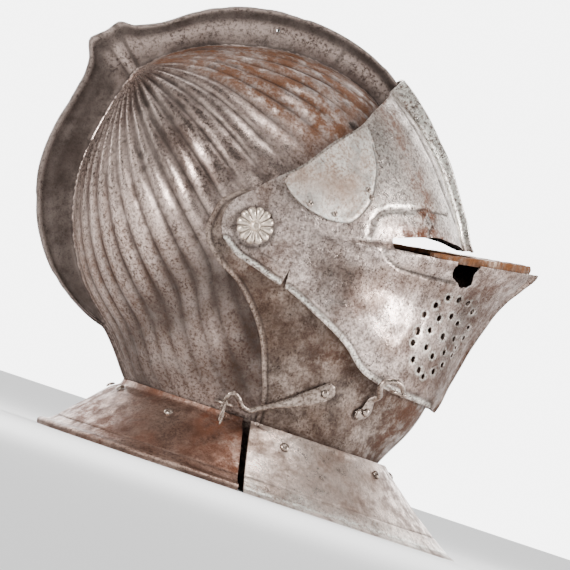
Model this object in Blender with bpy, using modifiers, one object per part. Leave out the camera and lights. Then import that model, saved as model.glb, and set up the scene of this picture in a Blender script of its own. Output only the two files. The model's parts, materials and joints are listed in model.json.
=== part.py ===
"""Close helmet: fluted bowl with comb, chin piece, pointed visor, two neck plates and hooks.

X is the wearer's forward, Y the wearer's left, Z up, in metres.
All face plates turn about one axis, parallel to Y, through the two rosette pins.
Shapes are given in the side view by an angle and a distance from that axis,
and their half-width by one rounded section rule.
"""

import math

import bmesh
import bpy
import numpy as np
from mathutils import Matrix, Vector

MM = 0.001

# Overall sizes
PIVOT_FORWARD = -46.0 * MM
BOWL_RADIUS = 110.0 * MM
BOWL_HALF_WIDTH = 97.0 * MM
COMB_RISE = 32.0 * MM
COMB_RADIUS = BOWL_RADIUS + COMB_RISE
# The face plates reach out in proportion to the bowl that they close over
FACE_SHARE = 1.7
FACE_REACH = FACE_SHARE * BOWL_RADIUS
# Each plate lies over the one below it with this step, wall included
PLATE_STEP = 3.2 * MM
BEVOR_HALF_WIDTH = BOWL_HALF_WIDTH + PLATE_STEP
VISOR_HALF_WIDTH = BEVOR_HALF_WIDTH + PLATE_STEP
CHEEK_RADIUS = 125.0 * MM
CHEEK_FLAT = 30.0 * MM
CHEEK_BLEND = 50.0 * MM

# Sheet thicknesses and clearances
BOWL_WALL = 1.5 * MM
BEVOR_WALL = 1.4 * MM
VISOR_WALL = 1.4 * MM
NECK_WALL = 1.6 * MM
PATCH_WALL = 1.2 * MM
PART_GAP = 0.3 * MM
PATCH_GAP = 0.5 * MM
WASHER_GAP = 1.9 * MM
NECK_GAP = 1.0 * MM
NECK_PLATE_GAP = 4.5 * MM

# Comb and flutes
COMB_BASE_HALF = 5.5 * MM
FLUTE_COUNT = 22
FLUTE_DEPTH = 1.6 * MM
HUB_ANGLE = 140.0

# Pins, rivets and hooks
ARM_RADIUS = 20.6 * MM
PIN_RADIUS = 2.8 * MM
PIN_HOLE_RADIUS = 3.2 * MM
ROSETTE_RADIUS = 12.0 * MM
ROSETTE_HEIGHT = 4.6 * MM
PETALS = 12
RIVET_RADIUS = 3.0 * MM
HOOK_PIN_RADIUS = 1.3 * MM
HOOK_HOLE_RADIUS = 1.7 * MM
STAPLE_WIRE_RADIUS = 1.1 * MM
STAPLE_RADIUS = 5.2 * MM
PIN_WIRE_RADIUS = 0.6 * MM
HANGING_PIN_LENGTH = 13.0 * MM

# Neck: the opening where the bowl and the chin piece meet the neck plates
NECK_TOP = 44.0 * MM
NECK_EDGE = 39.0 * MM
PIVOT_HEIGHT = NECK_EDGE + 1.1 * BOWL_RADIUS
NECK_REAR = -0.20 * BOWL_RADIUS
NECK_FRONT = 0.77 * FACE_REACH
NECK_CENTRE = 0.5 * (NECK_FRONT + NECK_REAR)
NECK_HALF_LENGTH = 0.5 * (NECK_FRONT - NECK_REAR)
NECK_HALF_WIDTH = 0.742 * BOWL_HALF_WIDTH
NECK_SPLIT = 0.22 * FACE_REACH
REAR_FLARE = 47.0 * MM
FRONT_FLARE = 70.0 * MM
SIDE_FLARE = 50.0 * MM
RIM_REAR = NECK_REAR - REAR_FLARE
RIM_FRONT = NECK_FRONT + FRONT_FLARE
RIM_HALF_WIDTH = NECK_HALF_WIDTH + SIDE_FLARE

# Bowl outline without comb: angle about the pivot axis, share of BOWL_RADIUS
BOWL_OUTLINE = (
    (40, 1.090), (54, 1.118), (72, 1.073), (88, 1.030), (104, 1.000), (136, 1.000),
    (143, 0.975), (157, 0.920), (170, 0.895), (201, 0.882), (222, 0.890), (232, 0.895),
    (241, 0.910), (246, 0.936), (252, 0.990), (257, 1.055), (259.4, 1.087), (263, 1.130),
    (270, 1.236), (280, 1.418), (289, 1.618), (297, 1.800), (304, 1.870),
)
# Crest of the comb: angle about the pivot axis, share of COMB_RADIUS
COMB_OUTLINE = (
    (40, 0.990), (60, 1.000), (66, 0.993), (86, 0.965), (105, 0.944), (115, 0.930),
    (125, 0.915), (133, 0.945), (137, 0.996), (141, 0.992), (145, 1.004), (149, 0.930),
    (154, 0.888), (164, 0.866), (183, 0.859), (192, 0.845), (201, 0.831), (208, 0.817),
    (217, 0.796), (228, 0.761), (236, 0.732), (241, 0.712), (320, 0.300),
)
COMB_LOW_HEIGHT = 1.6 * MM
# Section of the comb: share of its height, share of its base half-width
COMB_SECTION = ((0.14, 0.80), (0.60, 0.70), (0.78, 0.60), (0.90, 0.80), (1.00, 0.46))
# Front edge of the bowl, hidden under the face plates: up, forward, shares of BOWL_RADIUS
BOWL_FRONT = (
    (-1.12, 0.58), (-1.06, 0.56), (-0.92, 0.52), (-0.76, 0.46), (-0.57, 0.37), (-0.45, 0.29),
    (-0.33, 0.24), (-0.14, 0.24), (0.00, 0.26), (0.14, 0.27), (0.27, 0.33), (0.55, 0.56),
    (0.80, 0.78), (1.10, 1.06),
)
# Rear edge of the chin piece seen from the axis: distance share of BOWL_RADIUS, angle
BEVOR_EDGE = ((0.33, -88), (0.48, -72), (0.63, -66), (0.84, -66), (0.99, -67), (1.15, -68))

# Angle at which the middle of the chin piece meets the neck plates
CHIN_LOW_ANGLE = -40.5
# Chin piece outline on the middle plane: angle, share of FACE_REACH
BEVOR_OUTLINE = (
    (-70, 1.00), (-63, 1.06), (-56, 1.10), (-50, 1.10), (-44, 1.06), (-39, 1.000),
    (-34, 0.985), (-30, 0.980), (-26, 0.968), (-20, 0.936), (-15, 0.909), (-10, 0.882),
    (0, 0.856), (15, 0.820), (40, 0.800),
)
# Chin piece edges in the side view: share along, forward, up, shares of FACE_REACH
BEVOR_TOP = (
    (0.00, -0.075, 0.105), (0.12, 0.03, 0.115), (0.25, 0.14, 0.10), (0.40, 0.28, 0.065),
    (0.60, 0.48, 0.03), (0.80, 0.68, -0.005), (1.00, 0.85, -0.03),
)
BEVOR_REAR = (
    (0.00, 0.252, -0.647), (0.14, 0.235, -0.540), (0.28, 0.198, -0.449), (0.42, 0.144, -0.337),
    (0.54, 0.090, -0.267), (0.66, 0.005, -0.193), (0.78, -0.090, -0.139), (0.88, -0.150, -0.050),
    (0.95, -0.135, 0.040), (1.00, -0.075, 0.105),
)

# Visor keel: angle, crest share, root share of FACE_REACH, half-widths at root and crest in mm
VISOR_KEEL = (
    (-30, 1.000, 0.984, 5.0, 2.4), (-23, 1.000, 0.984, 5.0, 2.4), (-17, 0.983, 0.967, 5.0, 2.4),
    (-11, 0.979, 0.963, 5.0, 2.4), (-2, 1.005, 0.988, 5.0, 2.4), (2, 1.037, 1.018, 5.0, 2.4),
    (5, 1.080, 1.058, 5.0, 2.4), (8.3, 1.123, 1.096, 5.0, 2.4), (10.2, 0.893, 0.852, 6.0, 3.0),
    (17, 0.856, 0.813, 6.5, 3.2), (24, 0.829, 0.786, 7.0, 3.6), (32, 0.813, 0.765, 7.5, 4.2),
    (39, 0.797, 0.749, 8.0, 5.5), (46, 0.791, 0.735, 9.0, 6.4), (56, 0.781, 0.714, 9.5, 6.8),
)
# Section of the keel: share of its height, share from root to crest half-width
KEEL_SECTION = ((0.30, 0.75), (0.78, 1.00), (1.00, 1.40))
# Roundness of the visor section: angle, power of the distance, power of the half-width
VISOR_ROUND = (
    (-30, 2.2, 2.0), (-15, 2.1, 1.65), (-5, 2.0, 1.40), (8.3, 1.9, 1.40), (12, 1.8, 1.8),
    (30, 1.7, 1.9), (53, 1.6, 2.0), (60, 1.6, 2.0),
)
# Visor edges in the side view: share along, forward, up, shares of FACE_REACH
VISOR_LOWER_EDGE = (
    (0.00, -0.075, -0.080), (0.06, -0.021, -0.115), (0.14, 0.053, -0.134), (0.22, 0.123, -0.155),
    (0.28, 0.176, -0.166), (0.42, 0.332, -0.230), (0.52, 0.433, -0.278), (0.64, 0.545, -0.353),
    (0.76, 0.679, -0.380), (0.88, 0.802, -0.385), (1.00, 0.903, -0.390),
)
SIGHT_LOWER_EDGE = (
    (0.00, -0.110, -0.016), (0.20, 0.107, 0.011), (0.40, 0.321, 0.048), (0.58, 0.505, 0.080),
    (0.70, 0.610, 0.091), (0.82, 0.738, 0.107), (0.92, 0.882, 0.126), (1.00, 1.085, 0.156),
)
SIGHT_UPPER_EDGE = (
    (0.00, -0.110, 0.016), (0.20, 0.107, 0.043), (0.40, 0.321, 0.083), (0.58, 0.497, 0.115),
    (0.70, 0.615, 0.150), (0.82, 0.701, 0.168), (0.92, 0.781, 0.168), (1.00, 0.837, 0.160),
)
VISOR_UPPER_EDGE = (
    (0.00, -0.075, 0.080), (0.06, -0.037, 0.118), (0.12, 0.005, 0.160), (0.28, 0.107, 0.251),
    (0.44, 0.193, 0.353), (0.62, 0.289, 0.444), (0.78, 0.332, 0.508), (0.90, 0.375, 0.556),
    (1.00, 0.406, 0.587),
)
SIGHT_START = 0.58
# Columns from the pivot to the keel, and rows of the lower and the upper half
VISOR_COLUMNS = (
    0, 0.06, 0.12, 0.2, 0.28, 0.36, 0.44, 0.52, SIGHT_START, 0.64, 0.70, 0.76, 0.82, 0.87, 0.92, 0.96, 1,
)
VISOR_LOWER_ROWS = (0, 0.14, 0.28, 0.42, 0.56, 0.70, 0.82, 0.92, 1)
VISOR_UPPER_ROWS = (0, 0.12, 0.26, 0.40, 0.55, 0.70, 0.85, 1)
BEVOR_COLUMNS = (0, 0.07, 0.16, 0.27, 0.38, 0.50, 0.61, 0.72, 0.81, 0.89, 0.95, 1)
BEVOR_ROWS = (0, 0.14, 0.28, 0.42, 0.56, 0.68, 0.80, 0.90, 1)
BOWL_ROWS = (0, 0.022, 0.05, 0.10, 0.18, 0.28, 0.39, 0.51, 0.63, 0.75, 0.87, 1)

# Breath holes: forward, up, shares of FACE_REACH, and radius in mm
BREATH_HOLES = (
    (0.770, -0.016, 1.9), (0.818, -0.011, 2.1), (0.861, -0.011, 1.9), (0.733, -0.053, 1.9),
    (0.701, -0.096, 1.9), (0.893, -0.032, 1.9), (0.765, -0.091, 1.9), (0.813, -0.070, 2.0),
    (0.850, -0.086, 1.9), (0.904, -0.086, 1.6), (0.695, -0.155, 2.5), (0.743, -0.139, 1.9),
    (0.807, -0.144, 2.1), (0.861, -0.139, 1.8), (0.904, -0.125, 1.6), (0.690, -0.198, 1.9),
    (0.749, -0.198, 1.9), (0.883, -0.165, 1.2), (0.834, -0.193, 1.9), (0.877, -0.193, 1.5),
    (0.786, -0.219, 1.9), (0.711, -0.251, 1.9), (0.845, -0.235, 1.8), (0.749, -0.278, 1.9),
    (0.813, -0.267, 1.8), (0.775, -0.294, 1.7),
)
# Lost metal beside the sight on the right: forward, up, shares of FACE_REACH
LOST_METAL = (
    (0.745, 0.065), (0.752, 0.118), (0.760, 0.145), (0.850, 0.150), (0.838, 0.100),
    (0.836, 0.045), (0.800, 0.030), (0.770, 0.045),
)
# Slit in the lower edge below the arm
EDGE_SLIT = ((0.150, -0.180), (0.166, -0.096), (0.173, -0.180))
# Lower edge of the repair plate: share along, forward, up, shares of FACE_REACH
PATCH_LOWER_EDGE = (
    (0.00, 0.050, 0.170), (0.15, 0.095, 0.134), (0.30, 0.171, 0.106), (0.45, 0.246, 0.097),
    (0.58, 0.310, 0.107), (0.70, 0.355, 0.150), (0.80, 0.378, 0.225), (0.90, 0.372, 0.310),
    (1.00, 0.335, 0.390),
)
PATCH_UPPER_EDGE = (
    (0.00, 0.060, 0.196), (0.30, 0.107, 0.240), (0.60, 0.186, 0.332), (0.85, 0.262, 0.408),
    (1.00, 0.298, 0.436),
)
PATCH_RIVETS = ((0.160, 0.127), (0.255, 0.122), (0.372, 0.214), (0.352, 0.235))

# Ledge under the sight: angles of its faces, where it starts and ends, width of its sides
LEDGE_LOWER_ANGLE = 8.5
LEDGE_UPPER_ANGLE = 9.65
LEDGE_START = 0.66
LEDGE_END = 1.094
LEDGE_BAND = 11.0 * MM

# Neck plates from collar to rim: share of the flare, share of NECK_TOP
REAR_PROFILE = ((0.00, 1.00), (0.02, 0.93), (0.16, 0.83), (0.50, 0.47), (0.86, 0.12),
                (0.96, 0.10), (1.00, 0.045), (0.985, 0.00))
FRONT_PROFILE = ((0.00, 1.00), (0.06, 0.92), (0.32, 0.62), (0.56, 0.38), (0.84, 0.12), (1.00, 0.00))
# Rivets of the neck plates: share from the gap to the middle, share of the flare
REAR_RIVETS = ((0.40, 0.24), (0.86, 0.14))
FRONT_RIVETS = ((0.14, 0.17), (0.60, 0.14), (1.00, 0.10))

# Hooks: forward, up in shares of FACE_REACH, stand-off, width and thickness in mm
LONG_HOOK = (
    (0.450, -0.436, 1.5, 9.0, 1.6), (0.425, -0.458, 1.5, 10.0, 1.6), (0.370, -0.494, 1.8, 8.5, 1.7),
    (0.300, -0.533, 2.6, 4.6, 2.6), (0.240, -0.563, 3.4, 3.4, 3.2), (0.205, -0.580, 4.6, 3.4, 3.3),
    (0.176, -0.575, 5.6, 3.4, 3.4), (0.150, -0.553, 6.4, 3.4, 3.4), (0.128, -0.540, 6.8, 3.3, 3.3),
    (0.113, -0.548, 7.0, 3.0, 3.0), (0.108, -0.575, 7.0, 2.6, 2.6), (0.108, -0.600, 7.0, 2.2, 2.2),
)
LONG_HOOK_RIVET = (0.430, -0.455)
FRONT_HOOK = (
    (0.578, -0.487, 1.9, 6.5, 2.2), (0.604, -0.466, 1.9, 7.5, 2.2), (0.606, -0.428, 2.2, 5.0, 2.4),
    (0.616, -0.400, 5.2, 3.6, 3.4), (0.602, -0.380, 7.6, 3.4, 3.4), (0.594, -0.358, 9.2, 3.4, 3.4),
    (0.604, -0.340, 10.4, 3.4, 3.4), (0.632, -0.333, 11.6, 3.2, 3.2), (0.655, -0.342, 12.2, 3.0, 3.0),
    (0.663, -0.355, 12.4, 2.6, 2.6), (0.664, -0.367, 12.4, 2.2, 2.2),
)
FRONT_HOOK_RIVET = (0.600, -0.468)
LONG_STAPLE = (0.108, -0.580)
FRONT_STAPLE = (0.652, -0.364)


def column(table, index):
    return [row[index] for row in table]


def read(table, at, index=1):
    return float(np.interp(at, column(table, 0), column(table, index)))


def ease(value):
    value = min(1.0, max(0.0, value))
    return value * value * (3.0 - 2.0 * value)


def rounded(half_width, distance, reach, power_in=2.0, power_out=2.0):
    """Half-width at a distance from the axis; close to the axis all plates share one dome."""
    share = min(1.0, distance / reach)
    own = half_width * (1.0 - share ** power_in) ** (1.0 / power_out)
    dome = half_width * math.sqrt(max(0.0, 1.0 - (distance / CHEEK_RADIUS) ** 2))
    blend = ease((distance - CHEEK_FLAT) / CHEEK_BLEND)
    return dome * (1.0 - blend) + own * blend


def polar(forward, up):
    return math.hypot(forward, up), math.degrees(math.atan2(up, forward))


def place(forward, side, up):
    return Vector((PIVOT_FORWARD + forward, side, PIVOT_HEIGHT + up))


def bowl_half_width(distance, angle):
    edge = 360.0 + read(BEVOR_EDGE, distance / BOWL_RADIUS)
    turned = angle % 360.0
    if turned > edge:
        turned = edge
    return rounded(BOWL_HALF_WIDTH, distance, BOWL_RADIUS * read(BOWL_OUTLINE, turned))


def bevor_half_width(distance, angle):
    return rounded(BEVOR_HALF_WIDTH, distance, FACE_REACH * read(BEVOR_OUTLINE, angle))


def visor_half_width(distance, angle):
    root = FACE_REACH * read(VISOR_KEEL, angle, 2)
    side = read(VISOR_KEEL, angle, 3) * MM
    power_in = read(VISOR_ROUND, angle, 1)
    power_out = read(VISOR_ROUND, angle, 2)
    reach = root / (1.0 - (side / VISOR_HALF_WIDTH) ** power_out) ** (1.0 / power_in)
    return rounded(VISOR_HALF_WIDTH, distance, reach, power_in, power_out)


def surface_point(half_width, forward, up, lift=0.0, side=-1.0):
    """A point on a plate, or lifted off it along its normal, and that normal."""
    step = 0.5 * MM
    distance, angle = polar(forward, up)
    base = half_width(distance, angle)
    slope_x = (half_width(*polar(forward + step, up)) - half_width(*polar(forward - step, up))) / (2 * step)
    slope_z = (half_width(*polar(forward, up + step)) - half_width(*polar(forward, up - step))) / (2 * step)
    normal = Vector((-slope_x, side, -slope_z)).normalized()
    return place(forward, side * base, up) + normal * lift, normal


def add_object(name, mesh_builder, collection):
    mesh = bpy.data.meshes.new(name)
    mesh_builder.to_mesh(mesh)
    mesh_builder.free()
    made = bpy.data.objects.new(name, mesh)
    collection.objects.link(made)
    return made


def sheet_from(vertices, faces):
    """Open sheet mesh; corners that fall together are welded and empty faces dropped."""
    made = bmesh.new()
    corners = [made.verts.new(v) for v in vertices]
    for face in faces:
        made.faces.new([corners[i] for i in face])
    bmesh.ops.remove_doubles(made, verts=made.verts, dist=1e-7)
    bmesh.ops.dissolve_degenerate(made, edges=made.edges, dist=1e-7)
    return made


def both_sides(rows):
    """Mirror rows of right-side points (last one nearest the middle) into full rows."""
    full = []
    for row in rows:
        mirrored = [Vector((v.x, -v.y, v.z)) for v in reversed(row)]
        full.append(list(row) + mirrored)
    return full


def grid_sheet(rows, skipped=()):
    vertices = [v for row in rows for v in row]
    width = len(rows[0])
    faces = []
    for i in range(len(rows) - 1):
        for j in range(width - 1):
            if (i, j) in skipped:
                continue
            a = i * width + j
            faces.append((a, a + 1, a + 1 + width, a + width))
    return sheet_from(vertices, faces)


def face_out(made):
    """Turn all faces so the sheet's normals point away from the middle of the head."""
    bmesh.ops.recalc_face_normals(made, faces=made.faces)
    centre = place(0.0, 0.0, 0.0)
    total = 0.0
    for face in made.faces:
        total += face.normal.dot(face.calc_center_median() - centre) * face.calc_area()
    if total < 0.0:
        bmesh.ops.reverse_faces(made, faces=made.faces)
    return made


def thicken(target, wall):
    solid = target.modifiers.new("wall", "SOLIDIFY")
    solid.thickness = wall
    solid.offset = -1.0
    solid.use_even_offset = False
    return target


def cut(target, cutter):
    boolean = target.modifiers.new("cut", "BOOLEAN")
    boolean.operation = "DIFFERENCE"
    boolean.solver = "EXACT"
    boolean.object = cutter
    return target


def prism(outline, low, high):
    """Closed block: an outline in the side view, between two sideways positions."""
    made = bmesh.new()
    near = [made.verts.new(place(x * FACE_REACH, low, z * FACE_REACH)) for x, z in outline]
    far = [made.verts.new(place(x * FACE_REACH, high, z * FACE_REACH)) for x, z in outline]
    count = len(outline)
    made.faces.new(near)
    made.faces.new(list(reversed(far)))
    for i in range(count):
        j = (i + 1) % count
        made.faces.new((near[j], near[i], far[i], far[j]))
    bmesh.ops.recalc_face_normals(made, faces=made.faces)
    return made


def add_cylinder(made, start, end, radius, segments):
    axis = (end - start).normalized()
    turn = Vector((0.0, 0.0, 1.0)).rotation_difference(axis).to_matrix()
    rings = []
    for point in (start, end):
        ring = []
        for k in range(segments):
            angle = 2.0 * math.pi * k / segments
            offset = turn @ Vector((radius * math.cos(angle), radius * math.sin(angle), 0.0))
            ring.append(made.verts.new(point + offset))
        rings.append(ring)
    for k in range(segments):
        m = (k + 1) % segments
        made.faces.new((rings[0][k], rings[0][m], rings[1][m], rings[1][k]))
    made.faces.new(list(reversed(rings[0])))
    made.faces.new(rings[1])


def sweep(points, widths, heights, ups, segments, closed=False):
    """Tube with an oval section along a path of points; its ends are closed with flat caps."""
    made = bmesh.new()
    rings = []
    count = len(points)
    for i, point in enumerate(points):
        before = points[(i - 1) % count] if closed or i > 0 else point
        after = points[(i + 1) % count] if closed or i < count - 1 else point
        along = (after - before).normalized()
        across = along.cross(ups[i]).normalized()
        out = across.cross(along).normalized()
        ring = []
        for k in range(segments):
            angle = 2.0 * math.pi * (k + 0.5) / segments
            offset = across * (0.5 * widths[i] * math.cos(angle)) + out * (0.5 * heights[i] * math.sin(angle))
            ring.append(made.verts.new(point + offset))
        rings.append(ring)
    spans = count if closed else count - 1
    for i in range(spans):
        for k in range(segments):
            m = (k + 1) % segments
            j = (i + 1) % count
            made.faces.new((rings[i][k], rings[i][m], rings[j][m], rings[j][k]))
    if not closed:
        made.faces.new(rings[0])
        made.faces.new(rings[-1])
    bmesh.ops.recalc_face_normals(made, faces=made.faces)
    return made


def turned(profile, base, axis, segments, petals=0):
    """Solid of revolution: profile of (radius, height along the axis, petal share)."""
    made = bmesh.new()
    turn = Vector((0.0, 0.0, 1.0)).rotation_difference(axis).to_matrix()
    rings = []
    for radius, height, petal in profile:
        ring = []
        for k in range(segments):
            angle = 2.0 * math.pi * k / segments
            wave = abs(math.cos(0.5 * petals * angle)) if petals else 1.0
            own = radius * (1.0 - petal * (1.0 - wave))
            offset = Vector((own * math.cos(angle), own * math.sin(angle), height))
            ring.append(made.verts.new(base + turn @ offset))
        rings.append(ring)
    for i in range(len(rings) - 1):
        for k in range(segments):
            m = (k + 1) % segments
            made.faces.new((rings[i][k], rings[i][m], rings[i + 1][m], rings[i + 1][k]))
    made.faces.new(list(reversed(rings[0])))
    made.faces.new(rings[-1])
    bmesh.ops.recalc_face_normals(made, faces=made.faces)
    return made


def bowl_direction(around, along):
    """Point of a fan that starts at the hub on the comb: side view position and half-width."""
    hub = math.radians(HUB_ANGLE)
    start = Vector((math.cos(hub), 0.0, math.sin(hub)))
    front = Vector((math.sin(hub), 0.0, -math.cos(hub)))
    lateral = Vector((0.0, 1.0, 0.0))
    fan = front * math.cos(around) + lateral * math.sin(around)
    ray = start * math.cos(along) + fan * math.sin(along)
    base = COMB_BASE_HALF / BOWL_HALF_WIDTH
    sideways = math.sqrt(base * base + (1.0 - base * base) * ray.y * ray.y)
    angle = math.degrees(math.atan2(ray.z, ray.x)) % 360.0
    distance = BOWL_RADIUS * read(BOWL_OUTLINE, angle) * math.sqrt(max(0.0, 1.0 - sideways ** 2))
    forward = distance * math.cos(math.radians(angle))
    up = distance * math.sin(math.radians(angle))
    return forward, up, distance, angle


def bowl_inside(forward, up):
    if up < NECK_EDGE - PIVOT_HEIGHT:
        return False
    return forward < BOWL_RADIUS * read(BOWL_FRONT, up / BOWL_RADIUS)


def fan_end(around):
    """How far a line of the fan runs before it leaves the bowl."""
    step = math.radians(1.0)
    along = step
    while along < math.radians(178.0):
        forward, up, _, _ = bowl_direction(around, along + step)
        if not bowl_inside(forward, up):
            break
        along += step
    low = along
    high = along + step
    for _ in range(18):
        middle = 0.5 * (low + high)
        forward, up, _, _ = bowl_direction(around, middle)
        if bowl_inside(forward, up):
            low = middle
        else:
            high = middle
    return low


def flute_depth(share, distance, column_index, columns):
    """Depth of the hollow between two ribs; it fades at the hub, the neck and the pivot."""
    if column_index % 2 == 0:
        return 0.0
    fall = 1.0 - 0.75 * ease((share - 0.62) / 0.38)
    clear = ease((distance - 4.0 * PIN_RADIUS) / (6.0 * PIN_RADIUS))
    return FLUTE_DEPTH * min(1.0, share / 0.30) * fall * clear


def build_bowl():
    columns = 2 * FLUTE_COUNT
    lines = []
    for i in range(columns + 1):
        around = math.pi * i / columns
        end = fan_end(around)
        line = []
        for share in BOWL_ROWS:
            forward, up, distance, angle = bowl_direction(around, end * share)
            width = bowl_half_width(distance, angle)
            depth = flute_depth(share, distance, i, columns)
            shrink = 1.0 - depth / BOWL_RADIUS
            line.append((place(forward * shrink, -width * shrink, up * shrink), angle, distance))
        lines.append(line)
    rows = [[entry[0] for entry in line] for line in lines]
    vertices = []
    faces = []

    def add_grid(grid):
        offset = len(vertices)
        width = len(grid[0])
        for row in grid:
            vertices.extend(row)
        for i in range(len(grid) - 1):
            for j in range(width - 1):
                a = offset + i * width + j
                quad = (a, a + 1, a + 1 + width, a + width)
                faces.append(quad if j else quad[:3])

    add_grid(rows)
    add_grid([[Vector((v.x, -v.y, v.z)) for v in row] for row in rows])
    comb = list(reversed(lines[0]))[:-1] + lines[-1]
    comb_rows = []
    for base, angle, distance in comb:
        turn = angle if angle > 0.0 else angle + 360.0
        crest = max(COMB_RADIUS * read(COMB_OUTLINE, turn), distance + COMB_LOW_HEIGHT)
        height = crest - distance
        ray = Vector((math.cos(math.radians(turn)), 0.0, math.sin(math.radians(turn))))
        row = [base]
        for up_share, side_share in COMB_SECTION:
            low = min(1.0, height / (6.0 * MM))
            side = COMB_BASE_HALF * (side_share * low + (1.0 - low) * (0.95 - 0.55 * up_share))
            point = place(0.0, 0.0, 0.0) + ray * (distance + height * up_share)
            row.append(Vector((point.x, -side, point.z)))
        comb_rows.append(row)
    comb_full = both_sides(comb_rows)
    offset = len(vertices)
    width = len(comb_full[0])
    for row in comb_full:
        vertices.extend(row)
    for i in range(len(comb_full) - 1):
        for j in range(width - 1):
            a = offset + i * width + j
            faces.append((a, a + 1, a + 1 + width, a + width))
    return face_out(sheet_from(vertices, faces))


def edge_point(table, share):
    return np.array((read(table, share, 1), read(table, share, 2))) * FACE_REACH


def fitted(point, end_point, share, reach):
    """Stretch a side view point so that the row ends on the given reach."""
    factor = 1.0 + (reach / float(np.hypot(*end_point)) - 1.0) * share ** 4
    return point * factor


def visor_band(lower, upper, row_shares, columns):
    rows = []
    for v in row_shares:
        end = edge_point(lower, 1.0) * (1.0 - v) + edge_point(upper, 1.0) * v
        angle = polar(end[0], end[1])[1]
        reach = FACE_REACH * read(VISOR_KEEL, angle, 2)
        row = []
        for u in columns:
            point = edge_point(lower, u) * (1.0 - v) + edge_point(upper, u) * v
            point = fitted(point, end, u, reach)
            point = point * (1.0 + (ARM_RADIUS / float(np.hypot(*point)) - 1.0) * (1.0 - u) ** 40)
            distance, own_angle = polar(point[0], point[1])
            side = visor_half_width(distance, own_angle)
            if u == 1.0:
                side = read(VISOR_KEEL, angle, 3) * MM
            row.append(place(point[0], -side, point[1]))
        crest = FACE_REACH * read(VISOR_KEEL, angle, 1)
        root_side = read(VISOR_KEEL, angle, 3) * MM
        crest_side = read(VISOR_KEEL, angle, 4) * MM
        ray = Vector((math.cos(math.radians(angle)), 0.0, math.sin(math.radians(angle))))
        for height_share, side_share in KEEL_SECTION:
            side = root_side + (crest_side - root_side) * min(1.0, side_share)
            if side_share > 1.0:
                side = crest_side / side_share
            point = place(0.0, 0.0, 0.0) + ray * (reach + (crest - reach) * height_share)
            row.append(Vector((point.x, -side, point.z)))
        rows.append(row)
    return rows


def build_visor():
    lower = visor_band(VISOR_LOWER_EDGE, SIGHT_LOWER_EDGE, VISOR_LOWER_ROWS, VISOR_COLUMNS)
    upper = visor_band(SIGHT_UPPER_EDGE, VISOR_UPPER_EDGE, VISOR_UPPER_ROWS, VISOR_COLUMNS)
    rows = both_sides(lower + upper)
    width = len(rows[0])
    gap_row = len(lower) - 1
    start = VISOR_COLUMNS.index(SIGHT_START)
    skipped = {(gap_row, j) for j in range(width - 1) if start <= j < width - 1 - start}
    return face_out(grid_sheet(rows, skipped))


def coons(bottom, top, left, right, columns, row_shares):
    """Side view points between four edges that meet at their corners."""
    rows = []
    for v in row_shares:
        row = []
        for u in columns:
            along = bottom(u) * (1.0 - v) + top(u) * v
            across = left(v) * (1.0 - u) + right(v) * u
            corners = ((bottom(0.0) * (1.0 - u) + bottom(1.0) * u) * (1.0 - v)
                       + (top(0.0) * (1.0 - u) + top(1.0) * u) * v)
            row.append(along + across - corners)
        rows.append(row)
    return rows


def build_bevor():
    edge_up = NECK_EDGE - PIVOT_HEIGHT
    chin = read(BEVOR_OUTLINE, CHIN_LOW_ANGLE) * FACE_REACH
    front_low = np.array((math.sqrt(chin ** 2 - edge_up ** 2), edge_up))
    rear_low = edge_point(BEVOR_REAR, 0.0)

    def bottom(u):
        return np.array((rear_low[0] * (1.0 - u) + front_low[0] * u, edge_up))

    low_angle = polar(*front_low)[1]
    high_angle = polar(*edge_point(BEVOR_TOP, 1.0))[1]

    def front(v):
        angle = low_angle * (1.0 - v) + high_angle * v
        reach = FACE_REACH * read(BEVOR_OUTLINE, angle)
        return reach * np.array((math.cos(math.radians(angle)), math.sin(math.radians(angle))))

    def top(u):
        own = edge_point(BEVOR_TOP, u)
        end = edge_point(BEVOR_TOP, 1.0)
        return fitted(own, end, u, float(np.hypot(*front(1.0))))

    side_view = coons(bottom, top, lambda v: edge_point(BEVOR_REAR, v), front,
                      BEVOR_COLUMNS, BEVOR_ROWS)
    rows = []
    for points in side_view:
        row = []
        for point in points[:-1]:
            row.append(place(point[0], -bevor_half_width(*polar(*point)), point[1]))
        row.append(place(points[-1][0], 0.0, points[-1][1]))
        rows.append(row)
    return face_out(grid_sheet(both_sides(rows)))


def neck_ring(share, half_length, half_width, rear):
    """Plan curve of the collar, from the gap between the plates to the middle plane."""
    gap = 0.5 * NECK_PLATE_GAP
    side = (NECK_SPLIT - gap if rear else NECK_SPLIT + gap) - NECK_CENTRE
    start = math.acos(side / half_length)
    end = math.pi if rear else 0.0
    angle = start * (1.0 - share) + end * share
    return np.array((NECK_CENTRE + half_length * math.cos(angle), half_width * math.sin(angle)))


def neck_rim(share, rear):
    gap = 0.5 * NECK_PLATE_GAP
    angle = 0.5 * math.pi * share
    if rear:
        start = NECK_SPLIT - gap
        return np.array((start + (RIM_REAR - start) * math.sin(angle), RIM_HALF_WIDTH * math.cos(angle)))
    start = NECK_SPLIT + gap
    forward = math.sin(angle) ** 1.12
    return np.array((start + (RIM_FRONT - start) * forward, RIM_HALF_WIDTH * math.cos(angle) ** 1.12))


def neck_curve(share, flare, rear, half_length, half_width, inset):
    ring = neck_ring(share, half_length - inset, half_width - inset, rear)
    rim = neck_rim(share, rear)
    centre = np.array((NECK_SPLIT, 0.0))
    shrink = 1.0 - 1.5 * inset / float(np.hypot(*(rim - centre)))
    rim = np.array((rim[0] if share == 0.0 else centre[0] + (rim[0] - centre[0]) * shrink,
                    rim[1] * shrink))
    return ring * (1.0 - flare) + rim * flare


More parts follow.
